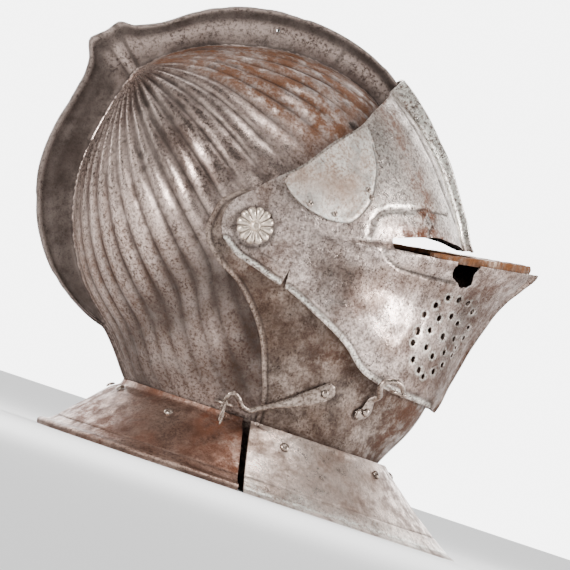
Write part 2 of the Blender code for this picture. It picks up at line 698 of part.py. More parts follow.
def neck_sizes(rear):
    grow = NECK_GAP + NECK_WALL
    if rear:
        return NECK_HALF_LENGTH + grow + 1.0 * MM, NECK_HALF_WIDTH + grow + 0.6 * MM
    half_width = NECK_HALF_WIDTH * BEVOR_HALF_WIDTH / BOWL_HALF_WIDTH
    return NECK_HALF_LENGTH + grow + 4.0 * MM, half_width + grow + 1.4 * MM


def build_neck_plate(rear, steps):
    """Closed flared plate: outer and inner skins, with its flat foot on the floor plane."""
    profile = REAR_PROFILE if rear else FRONT_PROFILE
    half_length, half_width = neck_sizes(rear)
    skins = []
    for inset in (0.0, NECK_WALL):
        skin = []
        for flare, height in profile:
            row = []
            for k in range(2 * steps + 1):
                share = k / steps if k <= steps else 2.0 - k / steps
                side = -1.0 if k <= steps else 1.0
                point = neck_curve(share, flare, rear, half_length, half_width, inset)
                row.append(Vector((PIVOT_FORWARD + point[0], side * point[1], NECK_TOP * height)))
            skin.append(row)
        skins.append(skin)
    made = bmesh.new()
    outer = [[made.verts.new(v) for v in row] for row in skins[0]]
    inner = [[made.verts.new(v) for v in row] for row in skins[1]]
    last = len(outer) - 1
    width = len(outer[0])
    for i in range(last):
        for j in range(width - 1):
            made.faces.new((outer[i][j], outer[i][j + 1], outer[i + 1][j + 1], outer[i + 1][j]))
            made.faces.new((inner[i][j + 1], inner[i][j], inner[i + 1][j], inner[i + 1][j + 1]))
        made.faces.new((outer[i][0], outer[i + 1][0], inner[i + 1][0], inner[i][0]))
        made.faces.new((outer[i + 1][-1], outer[i][-1], inner[i][-1], inner[i + 1][-1]))
    for j in range(width - 1):
        made.faces.new((outer[0][j + 1], outer[0][j], inner[0][j], inner[0][j + 1]))
        made.faces.new((outer[last][j], outer[last][j + 1], inner[last][j + 1], inner[last][j]))
    bmesh.ops.recalc_face_normals(made, faces=made.faces)
    return made


def neck_surface(rear, share, flare, side):
    """Point and outward normal on a neck plate."""
    profile = REAR_PROFILE if rear else FRONT_PROFILE
    half_length, half_width = neck_sizes(rear)

    def at(own_share, own_flare):
        point = neck_curve(own_share, own_flare, rear, half_length, half_width, 0.0)
        height = float(np.interp(own_flare, column(profile[:6], 0), column(profile[:6], 1)))
        return Vector((PIVOT_FORWARD + point[0], side * point[1], NECK_TOP * height))

    here = at(share, flare)
    along = at(min(1.0, share + 0.02), flare) - at(share - 0.02, flare)
    down = at(share, flare + 0.02) - at(share, flare - 0.02)
    if share == 1.0:
        along = Vector((0.0, 1.0, 0.0))
    normal = along.cross(down).normalized()
    if normal.z < 0.0:
        normal.negate()
    return here, normal


def build_ledge():
    stations = np.linspace(LEDGE_START, LEDGE_END, 12)
    outline = []
    for share in stations[:-1]:
        outline.append((share, visor_half_width(share * FACE_REACH, 8.25) - 0.6 * MM))
    tip = [(LEDGE_END, 2.0 * MM), (LEDGE_END, -2.0 * MM)]
    notch = []
    notch_end = LEDGE_END - 0.20
    for share in np.linspace(LEDGE_START, notch_end, 7):
        outer = visor_half_width(share * FACE_REACH, 8.25) - 0.6 * MM
        fade = math.sqrt(max(0.0, 1.0 - ((share - LEDGE_START) / (notch_end - LEDGE_START)) ** 3))
        notch.append((share, (outer - LEDGE_BAND) * fade))
    loop = ([(s, -w) for s, w in outline] + [(s, -w) for s, w in tip]
            + [(s, w) for s, w in reversed(outline)]
            + [(s, w) for s, w in notch[:-1]] + [(notch_end, 0.0)]
            + [(s, -w) for s, w in reversed(notch[:-1])])
    made = bmesh.new()
    skins = []
    for angle in (LEDGE_LOWER_ANGLE, LEDGE_UPPER_ANGLE):
        ray = Vector((math.cos(math.radians(angle)), 0.0, math.sin(math.radians(angle))))
        skin = []
        for share, side in loop:
            point = place(0.0, 0.0, 0.0) + ray * (share * FACE_REACH)
            skin.append(made.verts.new(Vector((point.x, side, point.z))))
        skins.append(skin)
    count = len(loop)
    made.faces.new(skins[0])
    made.faces.new(list(reversed(skins[1])))
    for i in range(count):
        j = (i + 1) % count
        made.faces.new((skins[0][j], skins[0][i], skins[1][i], skins[1][j]))
    bmesh.ops.recalc_face_normals(made, faces=made.faces)
    return made


def build_patch():
    rows = []
    columns = np.linspace(0.0, 1.0, 11)
    for v in np.linspace(0.0, 1.0, 6):
        row = []
        for u in columns:
            point = edge_point(PATCH_LOWER_EDGE, u) * (1.0 - v) + edge_point(PATCH_UPPER_EDGE, u) * v
            lifted, _ = surface_point(visor_half_width, point[0], point[1], PATCH_GAP + PATCH_WALL)
            row.append(lifted)
        rows.append(row)
    return face_out(grid_sheet(rows))


def build_hook(table, segments):
    points = []
    ups = []
    for forward, up, lift, _, _ in table:
        point, normal = surface_point(bevor_half_width, forward * FACE_REACH, up * FACE_REACH, lift * MM)
        points.append(point)
        ups.append(normal)
    widths = [row[3] * MM for row in table]
    heights = [row[4] * MM for row in table]
    return sweep(points, widths, heights, ups, segments)


def build_staple(centre, foot, segments, wire_segments):
    """Level ring eye of one wire, so a hook drops in from above; both ends run to the plate."""
    spread = STAPLE_WIRE_RADIUS + 0.3 * MM
    start = math.asin(spread / STAPLE_RADIUS)
    points = [Vector((centre.x + spread, foot, centre.z))]
    for k in range(segments + 1):
        angle = 0.5 * math.pi - start - (2.0 * math.pi - 2.0 * start) * k / segments
        points.append(centre + Vector((STAPLE_RADIUS * math.cos(angle), STAPLE_RADIUS * math.sin(angle), 0.0)))
    points.append(Vector((centre.x - spread, foot, centre.z)))
    size = 2.0 * STAPLE_WIRE_RADIUS
    count = len(points)
    return sweep(points, [size] * count, [size] * count, [Vector((0.0, 0.0, 1.0))] * count, wire_segments)


def build_hanging_pin(top, length):
    """Bent double wire: a small loop over the ring eye and two legs that hang down."""
    bend = STAPLE_WIRE_RADIUS + PIN_WIRE_RADIUS + 0.35 * MM
    points = []
    for z in (-length, -0.5 * length):
        points.append(top + Vector((0.0, -bend, z)))
    for k in range(7):
        angle = math.pi * k / 6.0
        points.append(top + Vector((0.0, -bend * math.cos(angle), bend * math.sin(angle))))
    for z in (-0.45 * length, -0.85 * length):
        points.append(top + Vector((0.0, bend, z)))
    size = 2.0 * PIN_WIRE_RADIUS
    ups = [Vector((1.0, 0.0, 0.0))] * len(points)
    return sweep(points, [size] * len(points), [size] * len(points), ups, 5)


def build_rivet(surface, normal, radius, segments=8):
    base = surface + normal * PART_GAP
    profile = ((radius, 0.0, 0.0), (0.92 * radius, 0.28 * radius, 0.0), (0.55 * radius, 0.55 * radius, 0.0))
    return turned(profile, base, normal, segments)


def build_hook_pin(table, spot, segments=10):
    """Rivet that a hook turns on: head outside, washer inside the plate."""
    surface, normal = surface_point(bevor_half_width, spot[0] * FACE_REACH, spot[1] * FACE_REACH)
    top = (table[1][2] + 0.5 * table[1][4]) * MM + 2.0 * PART_GAP
    inside = -BEVOR_WALL - WASHER_GAP
    head = 0.9 * RIVET_RADIUS
    profile = (
        (0.5 * head, inside - 1.0 * MM, 0.0), (head, inside - 0.8 * MM, 0.0), (head, inside, 0.0),
        (HOOK_PIN_RADIUS, inside, 0.0), (HOOK_PIN_RADIUS, top, 0.0), (head, top, 0.0),
        (0.92 * head, top + 0.28 * head, 0.0), (0.55 * head, top + 0.55 * head, 0.0),
    )
    return turned(profile, surface, normal, segments)


def build_pivot(side):
    """Petalled head, pin through all plates and a washer inside, in one turned body."""
    out = Vector((0.0, side, 0.0))
    base = place(0.0, side * VISOR_HALF_WIDTH, 0.0)
    inside = BOWL_HALF_WIDTH - BOWL_WALL - WASHER_GAP - VISOR_HALF_WIDTH
    profile = (
        (0.6 * MM, inside - 1.4 * MM, 0.0), (5.4 * MM, inside - 1.2 * MM, 0.0),
        (5.4 * MM, inside, 0.0), (PIN_RADIUS, inside, 0.0), (PIN_RADIUS, PART_GAP, 0.0),
        (0.93 * ROSETTE_RADIUS, PART_GAP, 0.10), (ROSETTE_RADIUS, 0.36 * ROSETTE_HEIGHT, 0.16),
        (0.80 * ROSETTE_RADIUS, 0.80 * ROSETTE_HEIGHT, 0.14),
        (0.42 * ROSETTE_RADIUS, 0.72 * ROSETTE_HEIGHT, 0.05),
        (0.30 * ROSETTE_RADIUS, 0.95 * ROSETTE_HEIGHT, 0.0),
        (0.12 * ROSETTE_RADIUS, ROSETTE_HEIGHT, 0.0),
    )
    return turned(profile, base, out, 2 * PETALS, PETALS)


def material(name, colour, metallic, roughness):
    made = bpy.data.materials.new(name)
    made.use_nodes = True
    shader = made.node_tree.nodes["Principled BSDF"]
    shader.inputs["Base Color"].default_value = (*colour, 1.0)
    shader.inputs["Metallic"].default_value = metallic
    shader.inputs["Roughness"].default_value = roughness
    made.diffuse_color = (*colour, 1.0)
    return made


def empty(name, location, collection):
    made = bpy.data.objects.new(name, None)
    made.location = location
    made.empty_display_size = 0.02
    collection.objects.link(made)
    return made


def main():
    for old in list(bpy.data.objects):
        bpy.data.objects.remove(old, do_unlink=True)
    helmet = bpy.data.collections.new("close_helmet")
    cutters = bpy.data.collections.new("cutters")
    bpy.context.scene.collection.children.link(helmet)
    bpy.context.scene.collection.children.link(cutters)

    colours = {
        "skull": ((0.30, 0.27, 0.25), 0.9, 0.42),
        "neck": ((0.33, 0.25, 0.21), 0.85, 0.5),
        "neck_front": ((0.42, 0.36, 0.32), 0.85, 0.46),
        "chin": ((0.34, 0.29, 0.26), 0.85, 0.5),
        "visor": ((0.45, 0.41, 0.38), 0.85, 0.48),
        "rust": ((0.36, 0.18, 0.10), 0.4, 0.7),
        "patch": ((0.56, 0.51, 0.47), 0.85, 0.42),
        "bright": ((0.60, 0.55, 0.48), 0.95, 0.3),
        "hook": ((0.42, 0.39, 0.37), 0.9, 0.35),
    }
    made_materials = {key: material("steel_" + key, *value) for key, value in colours.items()}

    def finish(name, builder, look, target=None):
        made = add_object(name, builder, target or helmet)
        made.data.materials.append(made_materials[look])
        return made

    def cutter(name, builder):
        made = add_object(name, builder, cutters)
        made.hide_render = True
        made.display_type = "WIRE"
        return made

    pin_bores = bmesh.new()
    reach = 1.1 * VISOR_HALF_WIDTH
    inner = 0.8 * BOWL_HALF_WIDTH
    for side in (-1.0, 1.0):
        add_cylinder(pin_bores, place(0.0, side * inner, 0.0), place(0.0, side * reach, 0.0),
                     PIN_HOLE_RADIUS, 16)
    pin_bores = cutter("pin_bores", pin_bores)

    skull = finish("skull", build_bowl(), "skull")
    thicken(skull, BOWL_WALL)
    cut(skull, pin_bores)

    bevor = finish("bevor", build_bevor(), "chin")
    thicken(bevor, BEVOR_WALL)
    cut(bevor, pin_bores)

    visor = finish("visor", build_visor(), "visor")
    thicken(visor, VISOR_WALL)
    cut(visor, pin_bores)
    holes = bmesh.new()
    for forward, up, radius in BREATH_HOLES:
        for side in (-1.0, 1.0):
            centre, normal = surface_point(visor_half_width, forward * FACE_REACH, up * FACE_REACH,
                                           side=side)
            add_cylinder(holes, centre - normal * 5.0 * MM, centre + normal * 4.0 * MM, radius * MM, 6)
    cut(visor, cutter("breath_holes", holes))
    cut(visor, cutter("lost_metal", prism(LOST_METAL, -1.2 * VISOR_HALF_WIDTH, -0.2 * VISOR_HALF_WIDTH)))
    cut(visor, cutter("edge_slit", prism(EDGE_SLIT, -1.2 * VISOR_HALF_WIDTH, -0.5 * VISOR_HALF_WIDTH)))

    finish("gorget_rear", build_neck_plate(True, 15), "neck")
    finish("gorget_front", build_neck_plate(False, 15), "neck_front")
    finish("pivot_right", build_pivot(-1.0), "bright")
    finish("pivot_left", build_pivot(1.0), "bright")
    finish("sight_ledge", build_ledge(), "rust")
    patch = finish("visor_patch", build_patch(), "patch")
    thicken(patch, PATCH_WALL)

    for number, (forward, up) in enumerate(PATCH_RIVETS, 1):
        surface, normal = surface_point(visor_half_width, forward * FACE_REACH, up * FACE_REACH,
                                        PATCH_GAP + PATCH_WALL)
        finish("patch_rivet_%d" % number, build_rivet(surface, normal, 0.62 * RIVET_RADIUS, 8), "hook")
    for rear, rivets, label in ((True, REAR_RIVETS, "rear"), (False, FRONT_RIVETS, "front")):
        for number, (share, flare) in enumerate(rivets, 1):
            sides = ((-1.0, "right"), (1.0, "left")) if share < 1.0 else ((-1.0, "middle"),)
            for side, word in sides:
                surface, normal = neck_surface(rear, share, flare, side)
                name = "gorget_%s_rivet_%s_%d" % (label, word, number)
                finish(name, build_rivet(surface, normal, RIVET_RADIUS), "hook")

    axes = {}
    hooks = {}
    hook_bores = bmesh.new()
    for name, table, spot in (("hook_long", LONG_HOOK, LONG_HOOK_RIVET),
                              ("hook_front", FRONT_HOOK, FRONT_HOOK_RIVET)):
        forward, up = spot[0] * FACE_REACH, spot[1] * FACE_REACH
        surface, normal = surface_point(bevor_half_width, forward, up)
        add_cylinder(hook_bores, surface - normal * 6.0 * MM, surface + normal * 6.0 * MM,
                     HOOK_HOLE_RADIUS, 12)
        finish(name + "_rivet", build_hook_pin(table, spot), "hook")
        hooks[name] = finish(name, build_hook(table, 8), "hook")
        axes[name] = empty(name + "_axis", surface, helmet)
    hook_bores = cutter("hook_bores", hook_bores)
    for target in (bevor, hooks["hook_long"], hooks["hook_front"]):
        cut(target, hook_bores)

    for name, table, spot, under, slope in (
            ("hook_staple", LONG_HOOK, LONG_STAPLE, bowl_half_width, 0.1),
            ("visor_staple", FRONT_HOOK, FRONT_STAPLE, visor_half_width, 1.3)):
        forward, up = spot[0] * FACE_REACH, spot[1] * FACE_REACH
        eye, _ = surface_point(bevor_half_width, forward, up, table[-1][2] * MM)
        own_forward = eye.x - PIVOT_FORWARD
        own_up = eye.z - PIVOT_HEIGHT
        foot = -under(*polar(own_forward, own_up)) - PART_GAP - slope * STAPLE_WIRE_RADIUS
        finish(name, build_staple(eye, foot, 12, 6), "hook")
        if name == "hook_staple":
            hang = eye + Vector((0.0, -STAPLE_RADIUS, 0.0))
            finish("hanging_pin", build_hanging_pin(hang, HANGING_PIN_LENGTH), "hook")

    pivot_axis = empty("pivot_axis", place(0.0, 0.0, 0.0), helmet)
    for child in (bevor, visor):
        child.parent = pivot_axis
        child.matrix_parent_inverse = Matrix.Translation(-pivot_axis.location)
    for name, hook in hooks.items():
        hook.parent = axes[name]
        hook.matrix_parent_inverse = Matrix.Translation(-axes[name].location)


main()
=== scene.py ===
import json
import math

import bmesh
import bpy
import numpy as np
from mathutils import Matrix, Vector


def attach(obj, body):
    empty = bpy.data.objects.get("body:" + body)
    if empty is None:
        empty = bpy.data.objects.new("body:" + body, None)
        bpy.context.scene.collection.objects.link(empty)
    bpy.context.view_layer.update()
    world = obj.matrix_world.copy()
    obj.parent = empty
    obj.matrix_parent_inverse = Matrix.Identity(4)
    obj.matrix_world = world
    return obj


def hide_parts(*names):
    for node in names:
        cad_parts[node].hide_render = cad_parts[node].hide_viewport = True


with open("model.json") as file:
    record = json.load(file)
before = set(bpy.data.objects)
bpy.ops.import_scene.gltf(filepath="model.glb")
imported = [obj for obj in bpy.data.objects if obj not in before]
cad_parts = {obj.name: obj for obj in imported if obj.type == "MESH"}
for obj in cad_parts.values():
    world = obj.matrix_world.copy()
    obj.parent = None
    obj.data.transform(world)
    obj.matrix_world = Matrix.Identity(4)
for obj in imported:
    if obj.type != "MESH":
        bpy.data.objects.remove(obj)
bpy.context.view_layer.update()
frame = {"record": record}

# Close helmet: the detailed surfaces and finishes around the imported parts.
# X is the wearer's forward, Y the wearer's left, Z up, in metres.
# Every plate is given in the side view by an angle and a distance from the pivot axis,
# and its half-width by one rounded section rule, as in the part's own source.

MM = 0.001

# Overall sizes
PIVOT_FORWARD = -46.0 * MM
BOWL_RADIUS = 110.0 * MM
BOWL_HALF_WIDTH = 97.0 * MM
COMB_RISE = 32.0 * MM
COMB_RADIUS = BOWL_RADIUS + COMB_RISE
# The face plates reach out in proportion to the bowl that they close over
FACE_SHARE = 1.7
FACE_REACH = FACE_SHARE * BOWL_RADIUS
# Each plate lies over the one below it with this step, wall included
PLATE_STEP = 3.2 * MM
BEVOR_HALF_WIDTH = BOWL_HALF_WIDTH + PLATE_STEP
VISOR_HALF_WIDTH = BEVOR_HALF_WIDTH + PLATE_STEP
CHEEK_RADIUS = 125.0 * MM
CHEEK_FLAT = 30.0 * MM
CHEEK_BLEND = 50.0 * MM

# Sheet thicknesses and clearances
BOWL_WALL = 1.5 * MM
BEVOR_WALL = 1.4 * MM
VISOR_WALL = 1.4 * MM
NECK_WALL = 1.6 * MM
PATCH_WALL = 1.2 * MM
PART_GAP = 0.3 * MM
PATCH_GAP = 0.5 * MM
WASHER_GAP = 1.9 * MM
NECK_GAP = 1.0 * MM
NECK_PLATE_GAP = 4.5 * MM

# Comb and flutes
COMB_BASE_HALF = 5.5 * MM
FLUTE_COUNT = 22
FLUTE_DEPTH = 1.6 * MM
HUB_ANGLE = 140.0

# Pins, rivets and hooks
ARM_RADIUS = 20.6 * MM
PIN_RADIUS = 2.8 * MM
ROSETTE_RADIUS = 12.0 * MM
ROSETTE_HEIGHT = 4.6 * MM
PETALS = 12
RIVET_RADIUS = 3.0 * MM
HOOK_PIN_RADIUS = 1.3 * MM
HOOK_HOLE_RADIUS = 1.7 * MM
STAPLE_WIRE_RADIUS = 1.1 * MM
STAPLE_RADIUS = 5.2 * MM
PIN_WIRE_RADIUS = 0.6 * MM
HANGING_PIN_LENGTH = 13.0 * MM

# Neck: the opening where the bowl and the chin piece meet the neck plates
NECK_TOP = 44.0 * MM
NECK_EDGE = 39.0 * MM
PIVOT_HEIGHT = NECK_EDGE + 1.1 * BOWL_RADIUS
NECK_REAR = -0.20 * BOWL_RADIUS
NECK_FRONT = 0.77 * FACE_REACH
NECK_CENTRE = 0.5 * (NECK_FRONT + NECK_REAR)
NECK_HALF_LENGTH = 0.5 * (NECK_FRONT - NECK_REAR)
NECK_HALF_WIDTH = 0.742 * BOWL_HALF_WIDTH
NECK_SPLIT = 0.22 * FACE_REACH
REAR_FLARE = 47.0 * MM
FRONT_FLARE = 70.0 * MM
SIDE_FLARE = 50.0 * MM
RIM_REAR = NECK_REAR - REAR_FLARE
RIM_FRONT = NECK_FRONT + FRONT_FLARE
RIM_HALF_WIDTH = NECK_HALF_WIDTH + SIDE_FLARE

# Bowl outline without comb: angle about the pivot axis, share of BOWL_RADIUS
BOWL_OUTLINE = (
    (40, 1.090), (54, 1.118), (72, 1.073), (88, 1.030), (104, 1.000), (136, 1.000),
    (143, 0.975), (157, 0.920), (170, 0.895), (201, 0.882), (222, 0.890), (232, 0.895),
    (241, 0.910), (246, 0.936), (252, 0.990), (257, 1.055), (259.4, 1.087), (263, 1.130),
    (270, 1.236), (280, 1.418), (289, 1.618), (297, 1.800), (304, 1.870),
)
# Crest of the comb: angle about the pivot axis, share of COMB_RADIUS
COMB_OUTLINE = (
    (40, 0.990), (60, 1.000), (66, 0.993), (86, 0.965), (105, 0.944), (115, 0.930),
    (125, 0.915), (133, 0.945), (137, 0.996), (141, 0.992), (145, 1.004), (149, 0.930),
    (154, 0.888), (164, 0.866), (183, 0.859), (192, 0.845), (201, 0.831), (208, 0.817),
    (217, 0.796), (228, 0.761), (236, 0.732), (241, 0.712), (320, 0.300),
)
COMB_LOW_HEIGHT = 1.6 * MM
# Front edge of the bowl, hidden under the face plates: up, forward, shares of BOWL_RADIUS
BOWL_FRONT = (
    (-1.12, 0.58), (-1.06, 0.56), (-0.92, 0.52), (-0.76, 0.46), (-0.57, 0.37), (-0.45, 0.29),
    (-0.33, 0.24), (-0.14, 0.24), (0.00, 0.26), (0.14, 0.27), (0.27, 0.33), (0.55, 0.56),
    (0.80, 0.78), (1.10, 1.06),
)
# Rear edge of the chin piece seen from the axis: distance share of BOWL_RADIUS, angle
BEVOR_EDGE = ((0.33, -88), (0.48, -72), (0.63, -66), (0.84, -66), (0.99, -67), (1.15, -68))

# Angle at which the middle of the chin piece meets the neck plates
CHIN_LOW_ANGLE = -40.5
# Chin piece outline on the middle plane: angle, share of FACE_REACH
BEVOR_OUTLINE = (
    (-70, 1.00), (-63, 1.06), (-56, 1.10), (-50, 1.10), (-44, 1.06), (-39, 1.000),
    (-34, 0.985), (-30, 0.980), (-26, 0.968), (-20, 0.936), (-15, 0.909), (-10, 0.882),
    (0, 0.856), (15, 0.820), (40, 0.800),
)
# Chin piece edges in the side view: share along, forward, up, shares of FACE_REACH
BEVOR_TOP = (
    (0.00, -0.075, 0.105), (0.12, 0.03, 0.115), (0.25, 0.14, 0.10), (0.40, 0.28, 0.065),
    (0.60, 0.48, 0.03), (0.80, 0.68, -0.005), (1.00, 0.85, -0.03),
)
BEVOR_REAR = (
    (0.00, 0.252, -0.647), (0.14, 0.235, -0.540), (0.28, 0.198, -0.449), (0.42, 0.144, -0.337),
    (0.54, 0.090, -0.267), (0.66, 0.005, -0.193), (0.78, -0.090, -0.139), (0.88, -0.150, -0.050),
    (0.95, -0.135, 0.040), (1.00, -0.075, 0.105),
)

# Visor keel: angle, crest share, root share of FACE_REACH, half-widths at root and crest in mm
VISOR_KEEL = (
    (-30, 1.000, 0.984, 5.0, 2.4), (-23, 1.000, 0.984, 5.0, 2.4), (-17, 0.983, 0.967, 5.0, 2.4),
    (-11, 0.979, 0.963, 5.0, 2.4), (-2, 1.005, 0.988, 5.0, 2.4), (2, 1.037, 1.018, 5.0, 2.4),
    (5, 1.080, 1.058, 5.0, 2.4), (8.3, 1.123, 1.096, 5.0, 2.4), (10.2, 0.893, 0.852, 6.0, 3.0),
    (17, 0.856, 0.813, 6.5, 3.2), (24, 0.829, 0.786, 7.0, 3.6), (32, 0.813, 0.765, 7.5, 4.2),
    (39, 0.797, 0.749, 8.0, 5.5), (46, 0.791, 0.735, 9.0, 6.4), (56, 0.781, 0.714, 9.5, 6.8),
)
# Roundness of the visor section: angle, power of the distance, power of the half-width
VISOR_ROUND = (
    (-30, 2.2, 2.0), (-15, 2.1, 1.65), (-5, 2.0, 1.40), (8.3, 1.9, 1.40), (12, 1.8, 1.8),
    (30, 1.7, 1.9), (53, 1.6, 2.0), (60, 1.6, 2.0),
)
# Visor edges in the side view: share along, forward, up, shares of FACE_REACH
VISOR_LOWER_EDGE = (
    (0.00, -0.075, -0.080), (0.06, -0.021, -0.115), (0.14, 0.053, -0.134), (0.22, 0.123, -0.155),
    (0.28, 0.176, -0.166), (0.42, 0.332, -0.230), (0.52, 0.433, -0.278), (0.64, 0.545, -0.353),
    (0.76, 0.679, -0.380), (0.88, 0.802, -0.385), (1.00, 0.903, -0.390),
)
SIGHT_LOWER_EDGE = (
    (0.00, -0.110, -0.016), (0.20, 0.107, 0.011), (0.40, 0.321, 0.048), (0.58, 0.505, 0.080),
    (0.70, 0.610, 0.091), (0.82, 0.738, 0.107), (0.92, 0.882, 0.126), (1.00, 1.085, 0.156),
)
SIGHT_UPPER_EDGE = (
    (0.00, -0.110, 0.016), (0.20, 0.107, 0.043), (0.40, 0.321, 0.083), (0.58, 0.497, 0.115),
    (0.70, 0.615, 0.150), (0.82, 0.701, 0.168), (0.92, 0.781, 0.168), (1.00, 0.837, 0.160),
)
VISOR_UPPER_EDGE = (
    (0.00, -0.075, 0.080), (0.06, -0.037, 0.118), (0.12, 0.005, 0.160), (0.28, 0.107, 0.251),
    (0.44, 0.193, 0.353), (0.62, 0.289, 0.444), (0.78, 0.332, 0.508), (0.90, 0.375, 0.556),
    (1.00, 0.406, 0.587),
)
SIGHT_START = 0.58

# Breath holes: forward, up, shares of FACE_REACH, and radius in mm
BREATH_HOLES = (
    (0.770, -0.016, 1.9), (0.818, -0.011, 2.1), (0.861, -0.011, 1.9), (0.733, -0.053, 1.9),
    (0.701, -0.096, 1.9), (0.893, -0.032, 1.9), (0.765, -0.091, 1.9), (0.813, -0.070, 2.0),
    (0.850, -0.086, 1.9), (0.904, -0.086, 1.6), (0.695, -0.155, 2.5), (0.743, -0.139, 1.9),
    (0.807, -0.144, 2.1), (0.861, -0.139, 1.8), (0.904, -0.125, 1.6), (0.690, -0.198, 1.9),
    (0.749, -0.198, 1.9), (0.883, -0.165, 1.2), (0.834, -0.193, 1.9), (0.877, -0.193, 1.5),
    (0.786, -0.219, 1.9), (0.711, -0.251, 1.9), (0.845, -0.235, 1.8), (0.749, -0.278, 1.9),
    (0.813, -0.267, 1.8), (0.775, -0.294, 1.7),
)
# Lost metal beside the sight on the right: forward, up, shares of FACE_REACH
LOST_METAL = (
    (0.745, 0.065), (0.752, 0.118), (0.760, 0.145), (0.850, 0.150), (0.838, 0.100),
    (0.836, 0.045), (0.800, 0.030), (0.770, 0.045),
)
# Slit in the lower edge below the arm
EDGE_SLIT = ((0.150, -0.180), (0.166, -0.096), (0.173, -0.180))
# Lower edge of the repair plate: share along, forward, up, shares of FACE_REACH
PATCH_LOWER_EDGE = (
    (0.00, 0.050, 0.170), (0.15, 0.095, 0.134), (0.30, 0.171, 0.106), (0.45, 0.246, 0.097),
    (0.58, 0.310, 0.107), (0.70, 0.355, 0.150), (0.80, 0.378, 0.225), (0.90, 0.372, 0.310),
    (1.00, 0.335, 0.390),
)
PATCH_UPPER_EDGE = (
    (0.00, 0.060, 0.196), (0.30, 0.107, 0.240), (0.60, 0.186, 0.332), (0.85, 0.262, 0.408),
    (1.00, 0.298, 0.436),
)
PATCH_RIVETS = ((0.160, 0.127), (0.255, 0.122), (0.372, 0.214), (0.352, 0.235))

# Ledge under the sight: angles of its faces, where it starts and ends, width of its sides
LEDGE_LOWER_ANGLE = 8.5
LEDGE_UPPER_ANGLE = 9.65
LEDGE_START = 0.66
LEDGE_END = 1.094
LEDGE_BAND = 11.0 * MM

# Neck plates from collar to rim: share of the flare, share of NECK_TOP
REAR_PROFILE = ((0.00, 1.00), (0.02, 0.93), (0.16, 0.83), (0.50, 0.47), (0.86, 0.12),
                (0.96, 0.10), (1.00, 0.045), (0.985, 0.00))
FRONT_PROFILE = ((0.00, 1.00), (0.06, 0.92), (0.32, 0.62), (0.56, 0.38), (0.84, 0.12), (1.00, 0.00))
# Rivets of the neck plates: share from the gap to the middle, share of the flare
REAR_RIVETS = ((0.40, 0.24), (0.86, 0.14))
FRONT_RIVETS = ((0.14, 0.17), (0.60, 0.14), (1.00, 0.10))

# Hooks: forward, up in shares of FACE_REACH, stand-off, width and thickness in mm
LONG_HOOK = (
    (0.450, -0.436, 1.5, 9.0, 1.6), (0.425, -0.458, 1.5, 10.0, 1.6), (0.370, -0.494, 1.8, 8.5, 1.7),
    (0.300, -0.533, 2.6, 4.6, 2.6), (0.240, -0.563, 3.4, 3.4, 3.2), (0.205, -0.580, 4.6, 3.4, 3.3),
    (0.176, -0.575, 5.6, 3.4, 3.4), (0.150, -0.553, 6.4, 3.4, 3.4), (0.128, -0.540, 6.8, 3.3, 3.3),
    (0.113, -0.548, 7.0, 3.0, 3.0), (0.108, -0.575, 7.0, 2.6, 2.6), (0.108, -0.600, 7.0, 2.2, 2.2),
)
LONG_HOOK_RIVET = (0.430, -0.455)
FRONT_HOOK = (
    (0.578, -0.487, 1.9, 6.5, 2.2), (0.604, -0.466, 1.9, 7.5, 2.2), (0.606, -0.428, 2.2, 5.0, 2.4),
    (0.616, -0.400, 5.2, 3.6, 3.4), (0.602, -0.380, 7.6, 3.4, 3.4), (0.594, -0.358, 9.2, 3.4, 3.4),
    (0.604, -0.340, 10.4, 3.4, 3.4), (0.632, -0.333, 11.6, 3.2, 3.2), (0.655, -0.342, 12.2, 3.0, 3.0),
    (0.663, -0.355, 12.4, 2.6, 2.6), (0.664, -0.367, 12.4, 2.2, 2.2),
)
FRONT_HOOK_RIVET = (0.600, -0.468)
LONG_STAPLE = (0.108, -0.580)
FRONT_STAPLE = (0.652, -0.364)

# Fine detail: lines of the fan and its steps, and small reliefs
LINES_PER_FLUTE = 8
BOWL_STEPS = 100
FLUTE_SEED = 11
LINE_DEPTH = 0.35 * MM
HAMMER_DEPTH = 0.35 * MM
HAMMER_CELL = 24.0 * MM
DENT_DEPTH = 0.16 * MM
DENT_CELL = 7.0 * MM
# Section of the comb: share of its height, share of its base half-width
COMB_DETAIL = (
    (0.00, 1.00), (0.03, 0.93), (0.08, 0.85), (0.14, 0.80), (0.28, 0.78), (0.45, 0.76), (0.56, 0.75),
    (0.61, 0.72), (0.66, 0.63), (0.72, 0.58), (0.78, 0.58), (0.82, 0.62), (0.86, 0.74), (0.90, 0.84),
    (0.94, 0.84), (0.975, 0.72), (1.00, 0.46), (1.01, 0.20),
)
# Section of the keel: share of its height, share from root to crest half-width
KEEL_DETAIL = (
    (0.10, 0.34), (0.20, 0.58), (0.30, 0.75), (0.45, 0.88), (0.62, 0.95), (0.78, 1.00), (0.90, 1.02),
    (0.96, 1.15), (1.00, 1.40), (1.01, 2.8),
)
